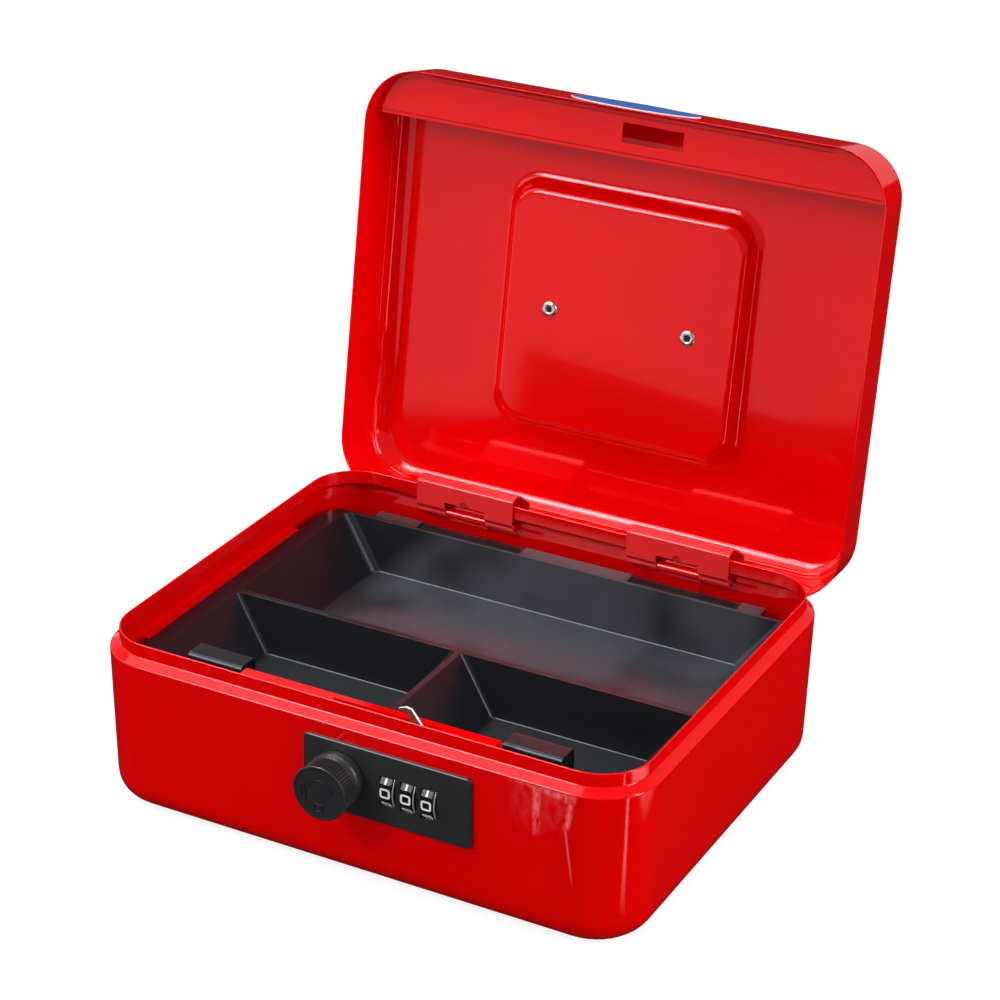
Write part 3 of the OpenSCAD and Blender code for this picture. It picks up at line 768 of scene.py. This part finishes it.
def make_leaf(side, label):
    x0, x1 = sorted((side * LEAF_X0, side * LEAF_X1))
    mid = (x0 + x1) / 2
    w0, w1 = mid - WINDOW_HX, mid + WINDOW_HX
    plate = piece("leaf_" + label, *fold(leaf_path(), x0, x1, 0.9), LEAF_RED_PAINTED_LIGHT)
    carve(plate, block(w0, w1, 92, 100, 61.6, 72.8), rod("y", mid, 72.8, 92, 97, 2.2))
    settle(plate, bevel(0.12, 2, 50))
    rolls = join(rod("x", KY, KZ, x0, w0, 2.05, 32), rod("x", KY, KZ, w1, x1, 2.05, 32))
    rolls = piece("rolls_" + label, *rolls, LEAF_RED_PAINTED_LIGHT)
    settle(rolls, bevel(0.15, 2, 50))
    weld_into(plate, rolls)
    settle(plate, WEIGH)
    claim(plate, "lid", ["hinge_leaf_" + label], "red_paint")
    return plate


for side, label in ((-1, "left"), (1, "right")):
    leaf = make_leaf(side, label)
print("leaf faces:", len(leaf.data.polygons))

# %% [markdown]
# ## Striker strip
#
# Across the lid's front runs a folded strip with a slot for the latch hook.
# Its ends follow the rounded corners of the lid, both long edges are folded,
# and two small tabs hold its front fold to the lid's wall.

# %% Striker
STRIP_Z, STRIP_BACK, STRIP_FRONT = NECK_TOP + 0.75, -77.8, -97.3
STRIP_R, STRIP_STRAIGHT = 24.1, HW - 29


def striker():
    half_x, half_y, r = HW - 1.65, HD - 1.5, STRIP_R
    dip = math.degrees(math.asin((half_y - r + STRIP_BACK) / r))
    path = arc(-half_x + r, -half_y + r, r, 180 - dip, 270, 14)
    path += [(-STRIP_STRAIGHT, -half_y), (-STRIP_STRAIGHT, STRIP_FRONT)]
    outline = path + [(-x, y) for x, y in reversed(path)]
    strip = slab(outline, STRIP_Z - T / 2, STRIP_Z + T / 2, lambda x, y, z: (x, y, z))
    obj = piece("striker_strip", *strip, RED)
    carve(obj, block(-1, 28, -92.75, -84.05, STRIP_Z - 2, STRIP_Z + 1.5))
    folds = []
    for y, reach, way in ((STRIP_BACK - T / 2, half_x - 1.1, 1), (STRIP_FRONT + T / 2, STRIP_STRAIGHT, -1)):
        bend = [(y - way * 1.4, STRIP_Z), (y, STRIP_Z), (y, STRIP_Z + 3.0)]
        folds.append(fold(bend, -reach, reach, 0.9))
    low, high = STRIP_Z + 2.6, STRIP_Z + 10.6
    tab = [(STRIP_FRONT + T / 2, low), (T / 2 - lid_wall(low), low), (T / 2 - lid_wall(high), high)]
    folds += [fold(tab, x0, x0 + 10, 1.0) for x0 in (-95, 85)]
    weld_into(obj, piece("striker_folds", *join(*folds), RED))
    for vert in obj.data.vertices:
        vert.co = Vector(opened(vert.co / MM)) * MM
    settle(obj, bevel(0.15, 2, 50), WEIGH)
    claim(obj, "lid", ["lid_striker"], "red_paint")
    return obj


print("striker faces:", len(striker().data.polygons))

# %% [markdown]
# ## The coin tray
#
# A one-piece moulding: a flange that hangs on brackets, three pockets with
# sloped ends that let coins slide up to the fingers, and two finger tabs. The
# skin is drawn as one surface, flange and pockets together, so that the
# fillets run on without a seam, and Solidify gives it its wall. Two shelves
# close the notches in the flange's rear edge from below. They are a lower step
# of the moulding, and in the duller dial black they also stand in for the
# shade in those notches: painted shade.

# %% Tray skin
TRAY_Z, FOOT_Z, WALL = 60.8, 37.0, 1.5
BACK_Y, NOTCH_Y = 93.4, 86.4
FLANGE_X, FLANGE_R = 119, 20
LIP, FILLET = 0.12, 0.7
TAB_X0, TAB_X1, TAB_WALL = 60.4, 86.1, 1.8
SHELF_STARTS, SHELF_LENGTH = (-73.75, 32.75), 53
POCKETS = [((-110, 110, -4.8, 84.7), (-92, 92, -0.3, 79.7), 4.5),
           ((-110, -1.5, -71, -7.8), (-92, -19.5, -66, -12.8), 2),
           ((1.5, 110, -71, -7.8), (19.5, 92, -66, -12.8), 2)]


def pocket_rings(top, foot, corner):
    """The rim's small lip, then the fillet at the foot, leaning from top to foot."""
    rows = []
    for i in range(4):
        a = math.radians(70 * i / 3)
        g = LIP * (1 - math.sin(a))
        grown = [edge + way * g for edge, way in zip(top, (-1, 1, -1, 1))]
        rows.append(ring(*grown, corner + g, TRAY_Z - LIP * (1 - math.cos(a))))
    for i in range(7):
        a = math.radians(90 * i / 6)
        rise, lean = FILLET * (1 - math.sin(a)), FILLET * (1 - math.cos(a))
        share = 1 - rise / (TRAY_Z - FOOT_Z)
        leant = [t + (f - t) * share + way * lean * 0.9 for t, f, way in zip(top, foot, (1, -1, 1, -1))]
        rows.append(ring(*leant, corner - lean * 0.6, FOOT_Z + rise))
    return rows


def flange_outline():
    bend = arc(FLANGE_X - FLANGE_R, BACK_Y - FLANGE_R, FLANGE_R, 0, 40, 8)
    pts = [(FLANGE_X, -77)] + [p for p in bend if p[1] <= NOTCH_Y] + [(114.3, NOTCH_Y)]
    left = [(-x, y) for x, y in reversed(pts)]
    for x0, x1 in ((85.75, 97), (-20.75, 32.75), (-97, -73.75)):
        pts += [(x1, NOTCH_Y), (x1, BACK_Y), (x0, BACK_Y), (x0, NOTCH_Y)]
    return pts + left


def tray_skin():
    bm = bmesh.new()
    loops = [[bm.verts.new((x, y, TRAY_Z)) for x, y in flange_outline()]]
    for pocket in POCKETS:
        rows = [[bm.verts.new(p) for p in row] for row in pocket_rings(*pocket)]
        loops.append(rows[0])
        for low, high in zip(rows[1:], rows):
            for i in range(len(low)):
                j = (i + 1) % len(low)
                bm.faces.new((high[i], high[j], low[j], low[i]))
        bm.faces.new(rows[-1])
    edges = []
    for loop in loops:
        pairs = [(v, loop[(i + 1) % len(loop)]) for i, v in enumerate(loop)]
        edges += [bm.edges.get(pair) or bm.edges.new(pair) for pair in pairs]
    bmesh.ops.triangle_fill(bm, edges=edges, use_beauty=True, normal=(0, 0, 1))
    bmesh.ops.recalc_face_normals(bm, faces=bm.faces)
    if sum(f.normal.z * f.calc_area() for f in bm.faces) < 0:
        bmesh.ops.reverse_faces(bm, faces=bm.faces)
    for face in bm.faces:
        face.smooth = True
    mesh = bpy.data.meshes.new("tray_mould")
    bm.to_mesh(mesh)
    bm.free()
    for v in mesh.vertices:
        v.co = v.co * MM
    mesh.materials.append(TRAY)
    obj = bpy.data.objects.new("tray_mould", mesh)
    scene.collection.objects.link(obj)
    return settle(obj, ("SOLIDIFY", {"thickness": WALL * MM, "offset": -1.0}), bevel(0.15, 2, 60))


def finger_tab(side):
    x0, x1 = sorted((side * TAB_X0, side * TAB_X1))
    hook = fold([(-81.1, 69.0), (-81.1, 71.2), (-72.0, 71.2), (-72.0, 59.8)], x0, x1, 1.3, 2.2)
    cheek = [(-80.9, 70.6), (-72.2, 70.6), (-72.2, 60.4), (-76.4, 60.4)]
    return join(hook, *[pull(cheek, x, x + TAB_WALL) for x in (x0, x1 - TAB_WALL)])


tray = tray_skin()
# Shelves under the notches: a lower step of the tray, and painted shade for the dark in the notches.
shelves = [block(x, x + SHELF_LENGTH, NOTCH_Y - 0.6, BACK_Y, 58.4, 59.9) for x in SHELF_STARTS]
shade_shelf = piece("notch_shade_shelves", *join(*shelves), DIAL, smooth=False)
tabs = piece("finger_tabs", *join(finger_tab(-1), finger_tab(1)), TRAY)
settle(tabs, bevel(0.35, 2, 40))
weld_into(tray, tabs, shade_shelf)
settle(tray, WEIGH)
claim(tray, "tray", ["coin_tray", "tray_tab_left", "tray_tab_right"], "tray_black")
print("tray faces:", len(tray.data.polygons))

# %% [markdown]
# ## Lock plate
#
# The plate is a die casting with a rounded edge and three windows. The
# windows are cut with the same numbers that place the dials.

# %% Lock plate
PLATE_X, PLATE_Y, PLATE_Z = 18.8, -101.1, 48.0
PLATE_HX, PLATE_HZ, PLATE_R, PLATE_EDGE = 38.25, 16, 2.4, 0.9
PANE_HX, PANE_HZ, HOLLOW_R = 3.6, 6.65, 11.3
WALL_RISE = 58.1


def plate_row(inset, y):
    flat = ring(inset - PLATE_HX, PLATE_HX - inset, inset - PLATE_HZ, PLATE_HZ - inset, PLATE_R - inset, 0)
    return [(PLATE_X + x, y, PLATE_Z + z) for x, z, _ in flat]


def wall_out(z):
    return HD - LEAN + (z - FOOT_BEND) * LEAN / WALL_RISE


def lock_plate():
    rows = [[(x, -wall_out(z), z) for x, _, z in plate_row(0, 0)]]
    for k in range(7):
        a = math.radians(15 * k)
        rows.append(plate_row(PLATE_EDGE * (1 - math.cos(a)), PLATE_Y + PLATE_EDGE * (1 - math.sin(a))))
    obj = piece("plate_face", *loft(rows), PLATE)
    for x in (DIAL_X - PITCH, DIAL_X, DIAL_X + PITCH):
        x0, x1 = x - PANE_HX, x + PANE_HX
        carve(obj, block(x0, x1, -104, -96, DIAL_Z - PANE_HZ, DIAL_Z + PANE_HZ),
              rod("x", DIAL_Y, DIAL_Z, x0, x1, HOLLOW_R, 64))
    carve(obj, rod("y", KNOB_X, KNOB_Z, -104, -96, BUSH_R))
    settle(obj, bevel(0.12, 2, 60), WEIGH)
    claim(obj, "base", ["lock_plate"], "lock_black")
    return obj


print("plate faces:", len(lock_plate().data.polygons))

# %% [markdown]
# ## Knob
#
# The grip carries fine straight knurls. That is a pattern that repeats round
# an axis, which is what Geometry Nodes do best: one small rib, instanced on
# the points of a circle, made real and given its material. The tree takes
# its numbers as named inputs, and the result is baked to a plain mesh.

# %% A ribbed ring with Geometry Nodes
def ribbed_ring_tree():
    tree = bpy.data.node_groups.new("ribbed_ring", "GeometryNodeTree")
    inputs = [("Geometry", "Geometry"), ("Count", "Int"), ("Radius", "Float"), ("Rib Length", "Float"),
              ("Rib Width", "Float"), ("Rib Height", "Float"), ("Finish", "Material")]
    for label, kind in inputs:
        tree.interface.new_socket(label, in_out="INPUT", socket_type="NodeSocket" + kind)
    tree.interface.new_socket("Geometry", in_out="OUTPUT", socket_type="NodeSocketGeometry")
    gin, gout, points, rib, shape, position, copies, real, paint, align, size = (
        tree.nodes.new(kind) for kind in (
            "NodeGroupInput", "NodeGroupOutput", "GeometryNodeMeshCircle", "GeometryNodeMeshCylinder",
            "GeometryNodeTransform", "GeometryNodeInputPosition", "GeometryNodeInstanceOnPoints",
            "GeometryNodeRealizeInstances", "GeometryNodeSetMaterial",
            "FunctionNodeAlignRotationToVector", "ShaderNodeCombineXYZ"))
    fill(rib, {"Vertices": 6, "Radius": 0.5, "Depth": 1.0})
    align.axis, align.pivot_axis = "X", "Z"
    wires = [(gin, "Count", points, "Vertices"), (gin, "Radius", points, "Radius"),
             (gin, "Rib Height", size, "X"), (gin, "Rib Width", size, "Y"),
             (gin, "Rib Length", size, "Z"), (rib, "Mesh", shape, "Geometry"),
             (size, "Vector", shape, "Scale"), (position, "Position", align, "Vector"),
             (points, "Mesh", copies, "Points"), (shape, "Geometry", copies, "Instance"),
             (align, "Rotation", copies, "Rotation"), (copies, "Instances", real, "Geometry"),
             (real, "Geometry", paint, "Geometry"), (gin, "Finish", paint, "Material"),
             (paint, "Geometry", gout, "Geometry")]
    for source, out, target, into in wires:
        tree.links.new(source.outputs[out], target.inputs[into])
    return tree


RIBS = ribbed_ring_tree()


def ribbed_ring(name, material, **values):
    obj = bpy.data.objects.new(name, bpy.data.meshes.new(name))
    scene.collection.objects.link(obj)
    mod = obj.modifiers.new("ribs", "NODES")
    mod.node_group = RIBS
    sockets = {s.name: s.identifier for s in RIBS.interface.items_tree if s.in_out == "INPUT"}
    for label, value in values.items():
        mod[sockets[label.replace("_", " ")]] = value
    mod[sockets["Finish"]] = material
    return settle(obj)


print("tree sockets:", [s.name for s in RIBS.interface.items_tree])

# %% [markdown]
# Raised marks, such as the arrow on the knob and the figures on the dials,
# are ridges: a path gets a width, and each of its points is placed on the
# surface by a function of two coordinates and a height.

# %% The knob itself
KNOB_BACK, KNOB_FACE, BORE_R = -104.0, -117.3, 3.06


def ridge(path, width, closed, place, height):
    pts, n = [Vector(p) for p in path], len(path)
    left, right = [], []
    for i, p in enumerate(pts):
        ahead = pts[(i + 1) % n] if closed or i + 1 < n else p
        behind = pts[i - 1] if closed or i else p
        d = (ahead - behind).normalized()
        side = Vector((-d.y, d.x)) * width / 2
        left.append(p + side)
        right.append(p - side)
    verts = [place(p.x, p.y, h) for h in (0, height) for p in left + right]
    faces = []
    for i in range(n if closed else n - 1):
        j = (i + 1) % n
        faces += [(i, j, n + j, n + i), (2 * n + i, 3 * n + i, 3 * n + j, 2 * n + j),
                  (i, 2 * n + i, 2 * n + j, j), (n + i, n + j, 3 * n + j, 3 * n + i)]
    if not closed:
        faces += [(i, n + i, 3 * n + i, 2 * n + i) for i in (0, n - 1)]
    return verts, faces


def arrow_marks(cx, cz, y):
    def place(u, v, h):
        return cx + u, y - h, cz + v

    bow = arc(0, 0, 5.6, 158, 8, 22)
    head = [(-8.2, 2.6), (-6.9, 2.2), (-6.3, -0.6), (-6.6, -3.8), (-7.9, -3.4), (-8.6, -0.4)]
    rim = soften(head + head[:2], 0.6, 3)[1:-1]
    gate = [(-2.3, -8.3), (1.2, -8.3), (1.2, -5.2), (-2.3, -5.2)]
    return join(ridge(bow, 0.55, False, place, 0.4), ridge(rim, 0.5, True, place, 0.4),
                ridge(gate, 0.5, True, place, 0.4))


def make_knob():
    y1, y0 = KNOB_BACK, KNOB_FACE
    profile = [(3, y1), (11.65, y1), (11.75, y1 - 0.15), (11.85, y1 - 1.0), (11.75, y1 - 1.9),
               (11.35, y1 - 2.8), (10.75, y1 - 3.5), (10.3, y1 - 3.9), (10.9, y1 - 4.4),
               (10.9, y0 + 0.95), (11.8, y0 + 0.8), (12.0, y0 + 0.5), (11.9, y0 + 0.18), (11.5, y0),
               (10.9, y0), (10.65, y0 + 0.35), (3, y0 + 0.35)]
    grip = piece("knob_grip", *turned(profile, "y", KNOB_X, KNOB_Z, 96), KNOB)
    ribs = ribbed_ring("knurls", KNOB, Count=54, Radius=0.0109, Rib_Length=0.0082, Rib_Width=0.0008,
                       Rib_Height=0.0015)
    middle = Matrix.Translation(Vector((KNOB_X, (y0 + y1) / 2 - 1.8, KNOB_Z)) * MM)
    ribs.data.transform(middle @ Matrix.Rotation(math.pi / 2, 4, "X"))
    marks = piece("knob_marks", *arrow_marks(KNOB_X, KNOB_Z, y0 + 0.35), KNOB)
    settle(marks, bevel(0.08, 2, 40))
    weld_into(grip, ribs, marks)
    settle(grip, WEIGH)
    claim(grip, "knob", ["knob"], "knob_black")
    return grip


def make_collar():
    y = PLATE_Y
    profile = [(BORE_R, y - 2.75), (11.6, y - 2.75), (11.68, y - 2.6), (11.5, y - 1.6), (11.2, y - 0.8),
               (10.9, y - 0.2), (10.8, y), (BUSH_R, y), (BUSH_R, -96), (BORE_R, -96)]
    collar = piece("knob_collar", *turned(profile, "y", KNOB_X, KNOB_Z, 96, closed=True), KNOB)
    nut = [(BUSH_R, -97.2), (8, -97.2), (8, -95.8), (BUSH_R, -95.8)]
    weld_into(collar, piece("bush_nut", *turned(nut, "y", KNOB_X, KNOB_Z, 6), KNOB, smooth=False))
    settle(collar, WEIGH)
    claim(collar, "base", ["knob_bush"], "knob_black")
    return collar


print("knob faces:", len(make_knob().data.polygons), "collar faces:", len(make_collar().data.polygons))

# %% [markdown]
# ## Number dials
#
# Each wheel has ten flats with a groove between them, and each flat carries
# one figure. A figure is a list of strokes in a unit cell, so ten of them fit
# in a small table. A thin bright rim marks the right-hand edge of each wheel.

# %% Dials
DIAL_R, FLAT_R, GROOVE, HUB_R, AXLE_R = 11.0, 10.62, 0.9, 4.5, 1.56
HALF_HUB, RIM_LEFT, RIM_RIGHT = 4.55, -3.1, 2.3
FIG_W, FIG_H, FIG_STROKE, FIG_RAISE = 3.8, 3.5, 0.85, 0.06
LOOP = [(.5, 0), (1, 0), (1, 1), (0, 1), (0, 0), (.5, 0)]
FIGURES = [
    [LOOP],
    [[(.5, -.3), (.5, 1.2)]],
    [[(0, 1), (1, 1), (1, .5), (0, .5), (0, 0), (1, 0)]],
    [[(0, 1), (1, 1), (1, 0), (0, 0)], [(.2, .5), (1, .5)]],
    [[(0, 1), (0, .4), (1, .4)], [(.75, 1), (.75, 0)]],
    [[(1, 1), (0, 1), (0, .5), (1, .5), (1, 0), (0, 0)]],
    [[(1, 1), (0, 1), (0, 0), (1, 0), (1, .5), (0, .5)]],
    [[(0, 1), (1, 1), (.4, 0)]],
    [LOOP, [(0, .5), (1, .5)]],
    [[(1, .5), (0, .5), (0, 1), (1, 1), (1, 0), (0, 0)]]]


def figure(k, x):
    c, s = math.cos(math.radians(36 * k)), math.sin(math.radians(36 * k))

    def place(u, v, h):
        r = FLAT_R + h
        return x + u, DIAL_Y - r * c + v * s, DIAL_Z + r * s + v * c

    parts = []
    for path in FIGURES[k]:
        pts = [((u - 0.5) * FIG_W, (v - 0.5) * FIG_H) for u, v in path]
        pts = soften(pts, 0.75, 4) if len(pts) > 2 else pts
        parts.append(ridge(pts, FIG_STROKE, False, place, FIG_RAISE))
    return join(*parts)


def wheel_row(x, reach):
    """One section of the wheel: plain near the hub, with flats and grooves at the rim."""
    pts = []
    for k in range(10):
        for t in (-17.9, -16.4, -15.2, -7, 0, 7, 15.2, 16.4, 17.9):
            r = FLAT_R / math.cos(math.radians(t)) if abs(t) < 16 else FLAT_R - GROOVE
            r = reach if reach < 9 else max(9.0, r - (DIAL_R - reach))
            a = math.radians(36 * k + t)
            pts.append((x, DIAL_Y - r * math.cos(a), DIAL_Z + r * math.sin(a)))
    return pts


def make_dial(i):
    x = DIAL_X + (i - 2) * PITCH
    left, right = x + RIM_LEFT, x + RIM_RIGHT
    rows = [(x - HALF_HUB, AXLE_R), (x - HALF_HUB, HUB_R), (left, HUB_R), (left, DIAL_R - 0.3),
            (left + 0.25, DIAL_R), (x + 2.0, DIAL_R), (x + 2.25, DIAL_R - 0.3), (right, HUB_R),
            (x + HALF_HUB, HUB_R), (x + HALF_HUB, AXLE_R), (x - HALF_HUB, AXLE_R)]
    wheel = loft([wheel_row(*row) for row in rows], False, False)
    wheel = piece("dial_%d" % i, *wheel, DIAL, smooth=False)
    marks = join(*[figure(k, x - 0.45) for k in range(10)])
    marks = piece("figures_%d" % i, *marks, FIGURE, smooth=False)
    line = [(9.9, x + 2.95), (10.95, x + 2.95), (10.95, x + 3.2), (9.9, x + 3.2)]
    line = piece("edge_%d" % i, *turned(line, "x", DIAL_Y, DIAL_Z, 80, closed=True), EDGE_STEEL)
    disc = [(HUB_R, right), (9.95, x + 2.9), (9.95, x + 3.25), (HUB_R, x + 3.25)]
    disc = piece("disc_%d" % i, *turned(disc, "x", DIAL_Y, DIAL_Z, 80, closed=True), DIAL)
    weld_into(wheel, marks, line, disc)
    claim(wheel, "dial_%d" % i, ["dial_wheel_%d" % i], "dial_black")
    return wheel


for i in (1, 2, 3):
    dial = make_dial(i)
print("dial faces:", len(dial.data.polygons), "materials:", [m.name for m in dial.data.materials])

# %% [markdown]
# ## Rail, cover and small steel
#
# Inside the front wall a folded rail guides the latch hook, and a folded
# cover hides the lock. Pieces that CAD already shapes well, such as these
# two and the pins, keep their CAD mesh and only get a finish and a fine
# bevel. The hook is a copy of its CAD mesh, with bright cut edges.

# %% Rail, cover and latch
def pairs(*stems):
    return [stem + side for stem in stems for side in ("_left", "_right")]


def dress(names, material, edge):
    for name in names:
        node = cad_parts[name]
        node.data.materials.clear()
        node.data.materials.append(material)
        add_modifiers(node, (edge, WEIGH))


def make_latch():
    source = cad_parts["latch_slide"]
    verts = [tuple(source.matrix_world @ v.co / MM) for v in source.data.vertices]
    faces = [tuple(p.vertices) for p in source.data.polygons]
    obj = piece("latch_hook", verts, faces, [BRONZE, BRIGHT], smooth=False)
    settle(obj, bevel(0.18, 2, 50))
    for face in obj.data.polygons:
        face.material_index = 0 if abs(face.normal.y) > 0.8 else 1
    claim(obj, "latch", ["latch_slide"], "zinc_steel")
    return obj


dress(["front_rail", "lock_cover"] + pairs("hinge_base", "tray_rest", "hinge_pin"), RED, bevel(0.25, 2, 35))
dress(["lock_frame", "lock_screws", "dial_axle", "lock_cam", "cam_nut", "knob_spindle", "detent_spring"],
      ZINC, bevel(0.12, 2, 50))
dress(pairs("handle_clip"), NICKEL, bevel(0.12, 2, 50))
print("latch faces:", len(make_latch().data.polygons))

# %% [markdown]
# ## Handle and rivets
#
# The handle is one bent rod, swept along its path. Its ends are a little
# thinner where they turn in the clips. The rivets are tubes with rolled
# heads, and a dark disc inside each closes the view through its bore: painted
# shade for the dark inside the hole.

# %% Handle and rivets
PIVOT_Y, PIVOT_Z = 6.5, LID_TOP - DISH + 2.5
RIVET_X, RIVET_Z, RIVET_BORE = 34.2, LID_TOP - DISH, 1.36


def sweep(path, place, n=20):
    rings = []
    for i, (x, y, r) in enumerate(path):
        ahead, behind = path[min(i + 1, len(path) - 1)], path[max(i - 1, 0)]
        d = Vector((ahead[0] - behind[0], ahead[1] - behind[1])).normalized()
        rings.append([place(x - d.y * u, y + d.x * u, v) for u, v in circle(r, n)])
    return loft(rings)


def hang(u, v, h):
    tilt = OPEN - math.pi / 2
    y = PIVOT_Y + v * math.cos(tilt) - h * math.sin(tilt)
    z = PIVOT_Z + v * math.sin(tilt) + h * math.cos(tilt)
    return opened((u, y, z))


def make_handle():
    half = [(27.2, 0, 1.5), (27.4, 0, 1.68), (40.5, 0, 1.68), (41.4, 0, 1.9)]
    half += [(x, y, 2.0) for x, y in arc(42.2, 2.8, 2.8, -90, 0, 6) + arc(36, 27, 9, 0, 90, 12)]
    path = half + [(-x, y, r) for x, y, r in reversed(half)]
    obj = piece("handle_bail", *sweep(path, hang), NICKEL)
    settle(obj, WEIGH)
    claim(obj, "handle", ["carry_handle"], "nickel")
    return obj


def make_rivets():
    profile = [(1.35, -1.35), (1.6, -1.56), (2.1, -1.62), (2.8, -1.58), (3.4, -1.35), (3.75, -0.95),
               (3.75, -0.8), (2.2, -0.8), (2.2, 0.8), (3.4, 0.8), (3.4, 1.0), (3.1, 1.35),
               (2.4, 1.58), (1.7, 1.56), (1.35, 1.35)]
    profile = [(r, RIVET_Z + h) for r, h in profile]
    tubes = [turned(profile, "z", x, 0, 48, closed=True) for x in (-RIVET_X, RIVET_X)]
    obj = piece("rivet_heads", *join(*tubes), NICKEL, turn=opened)
    settle(obj, WEIGH)
    # Dark discs inside the open bores: painted shade.
    shade_discs = [rod("z", x, 0, RIVET_Z - 0.9, RIVET_Z - 0.5, RIVET_BORE) for x in (-RIVET_X, RIVET_X)]
    weld_into(obj, piece("rivet_bore_shade", *join(*shade_discs), DIAL, turn=opened, smooth=False))
    claim(obj, "lid", ["handle_rivets"], "nickel")
    return obj


print("handle faces:", len(make_handle().data.polygons), "rivet faces:", len(make_rivets().data.polygons))

# %% [markdown]
# ## Label
#
# A plain oval sticker with a thin white border sits on the lid's front wall.
# It carries no words.

# %% Oval label
LABEL_X, LABEL_RISE = 1.3, 13


def oval_label():
    lean = math.atan2(LEAN_Y, LID_TOP - OUTER_BEND - LID_Z)

    def place(u, v, h):
        y = -(HD - LABEL_RISE * math.tan(lean)) - h * math.cos(lean) + v * math.sin(lean)
        z = LID_Z + LABEL_RISE + v * math.cos(lean) + h * math.sin(lean)
        return opened((LABEL_X + u, y, z))

    def oval(a, b, h):
        return [place(a * u, b * v, h) for u, v in circle(1, 96)]

    rows = [oval(30.8, 11, 0.0), oval(30.8, 11, 0.2), oval(30.7, 10.9, 0.29), oval(30.45, 10.65, 0.3)]
    border = piece("label_border", *loft(rows, True, False), EDGE)
    inner = [rows[-1], oval(30.4, 10.6, 0.3)]
    weld_into(border, piece("label_field", *loft(inner, False, True), BLUE))
    claim(border, "lid", ["lid_label"], "label_blue")
    return border


print("label materials:", [m.name for m in oval_label().data.materials])
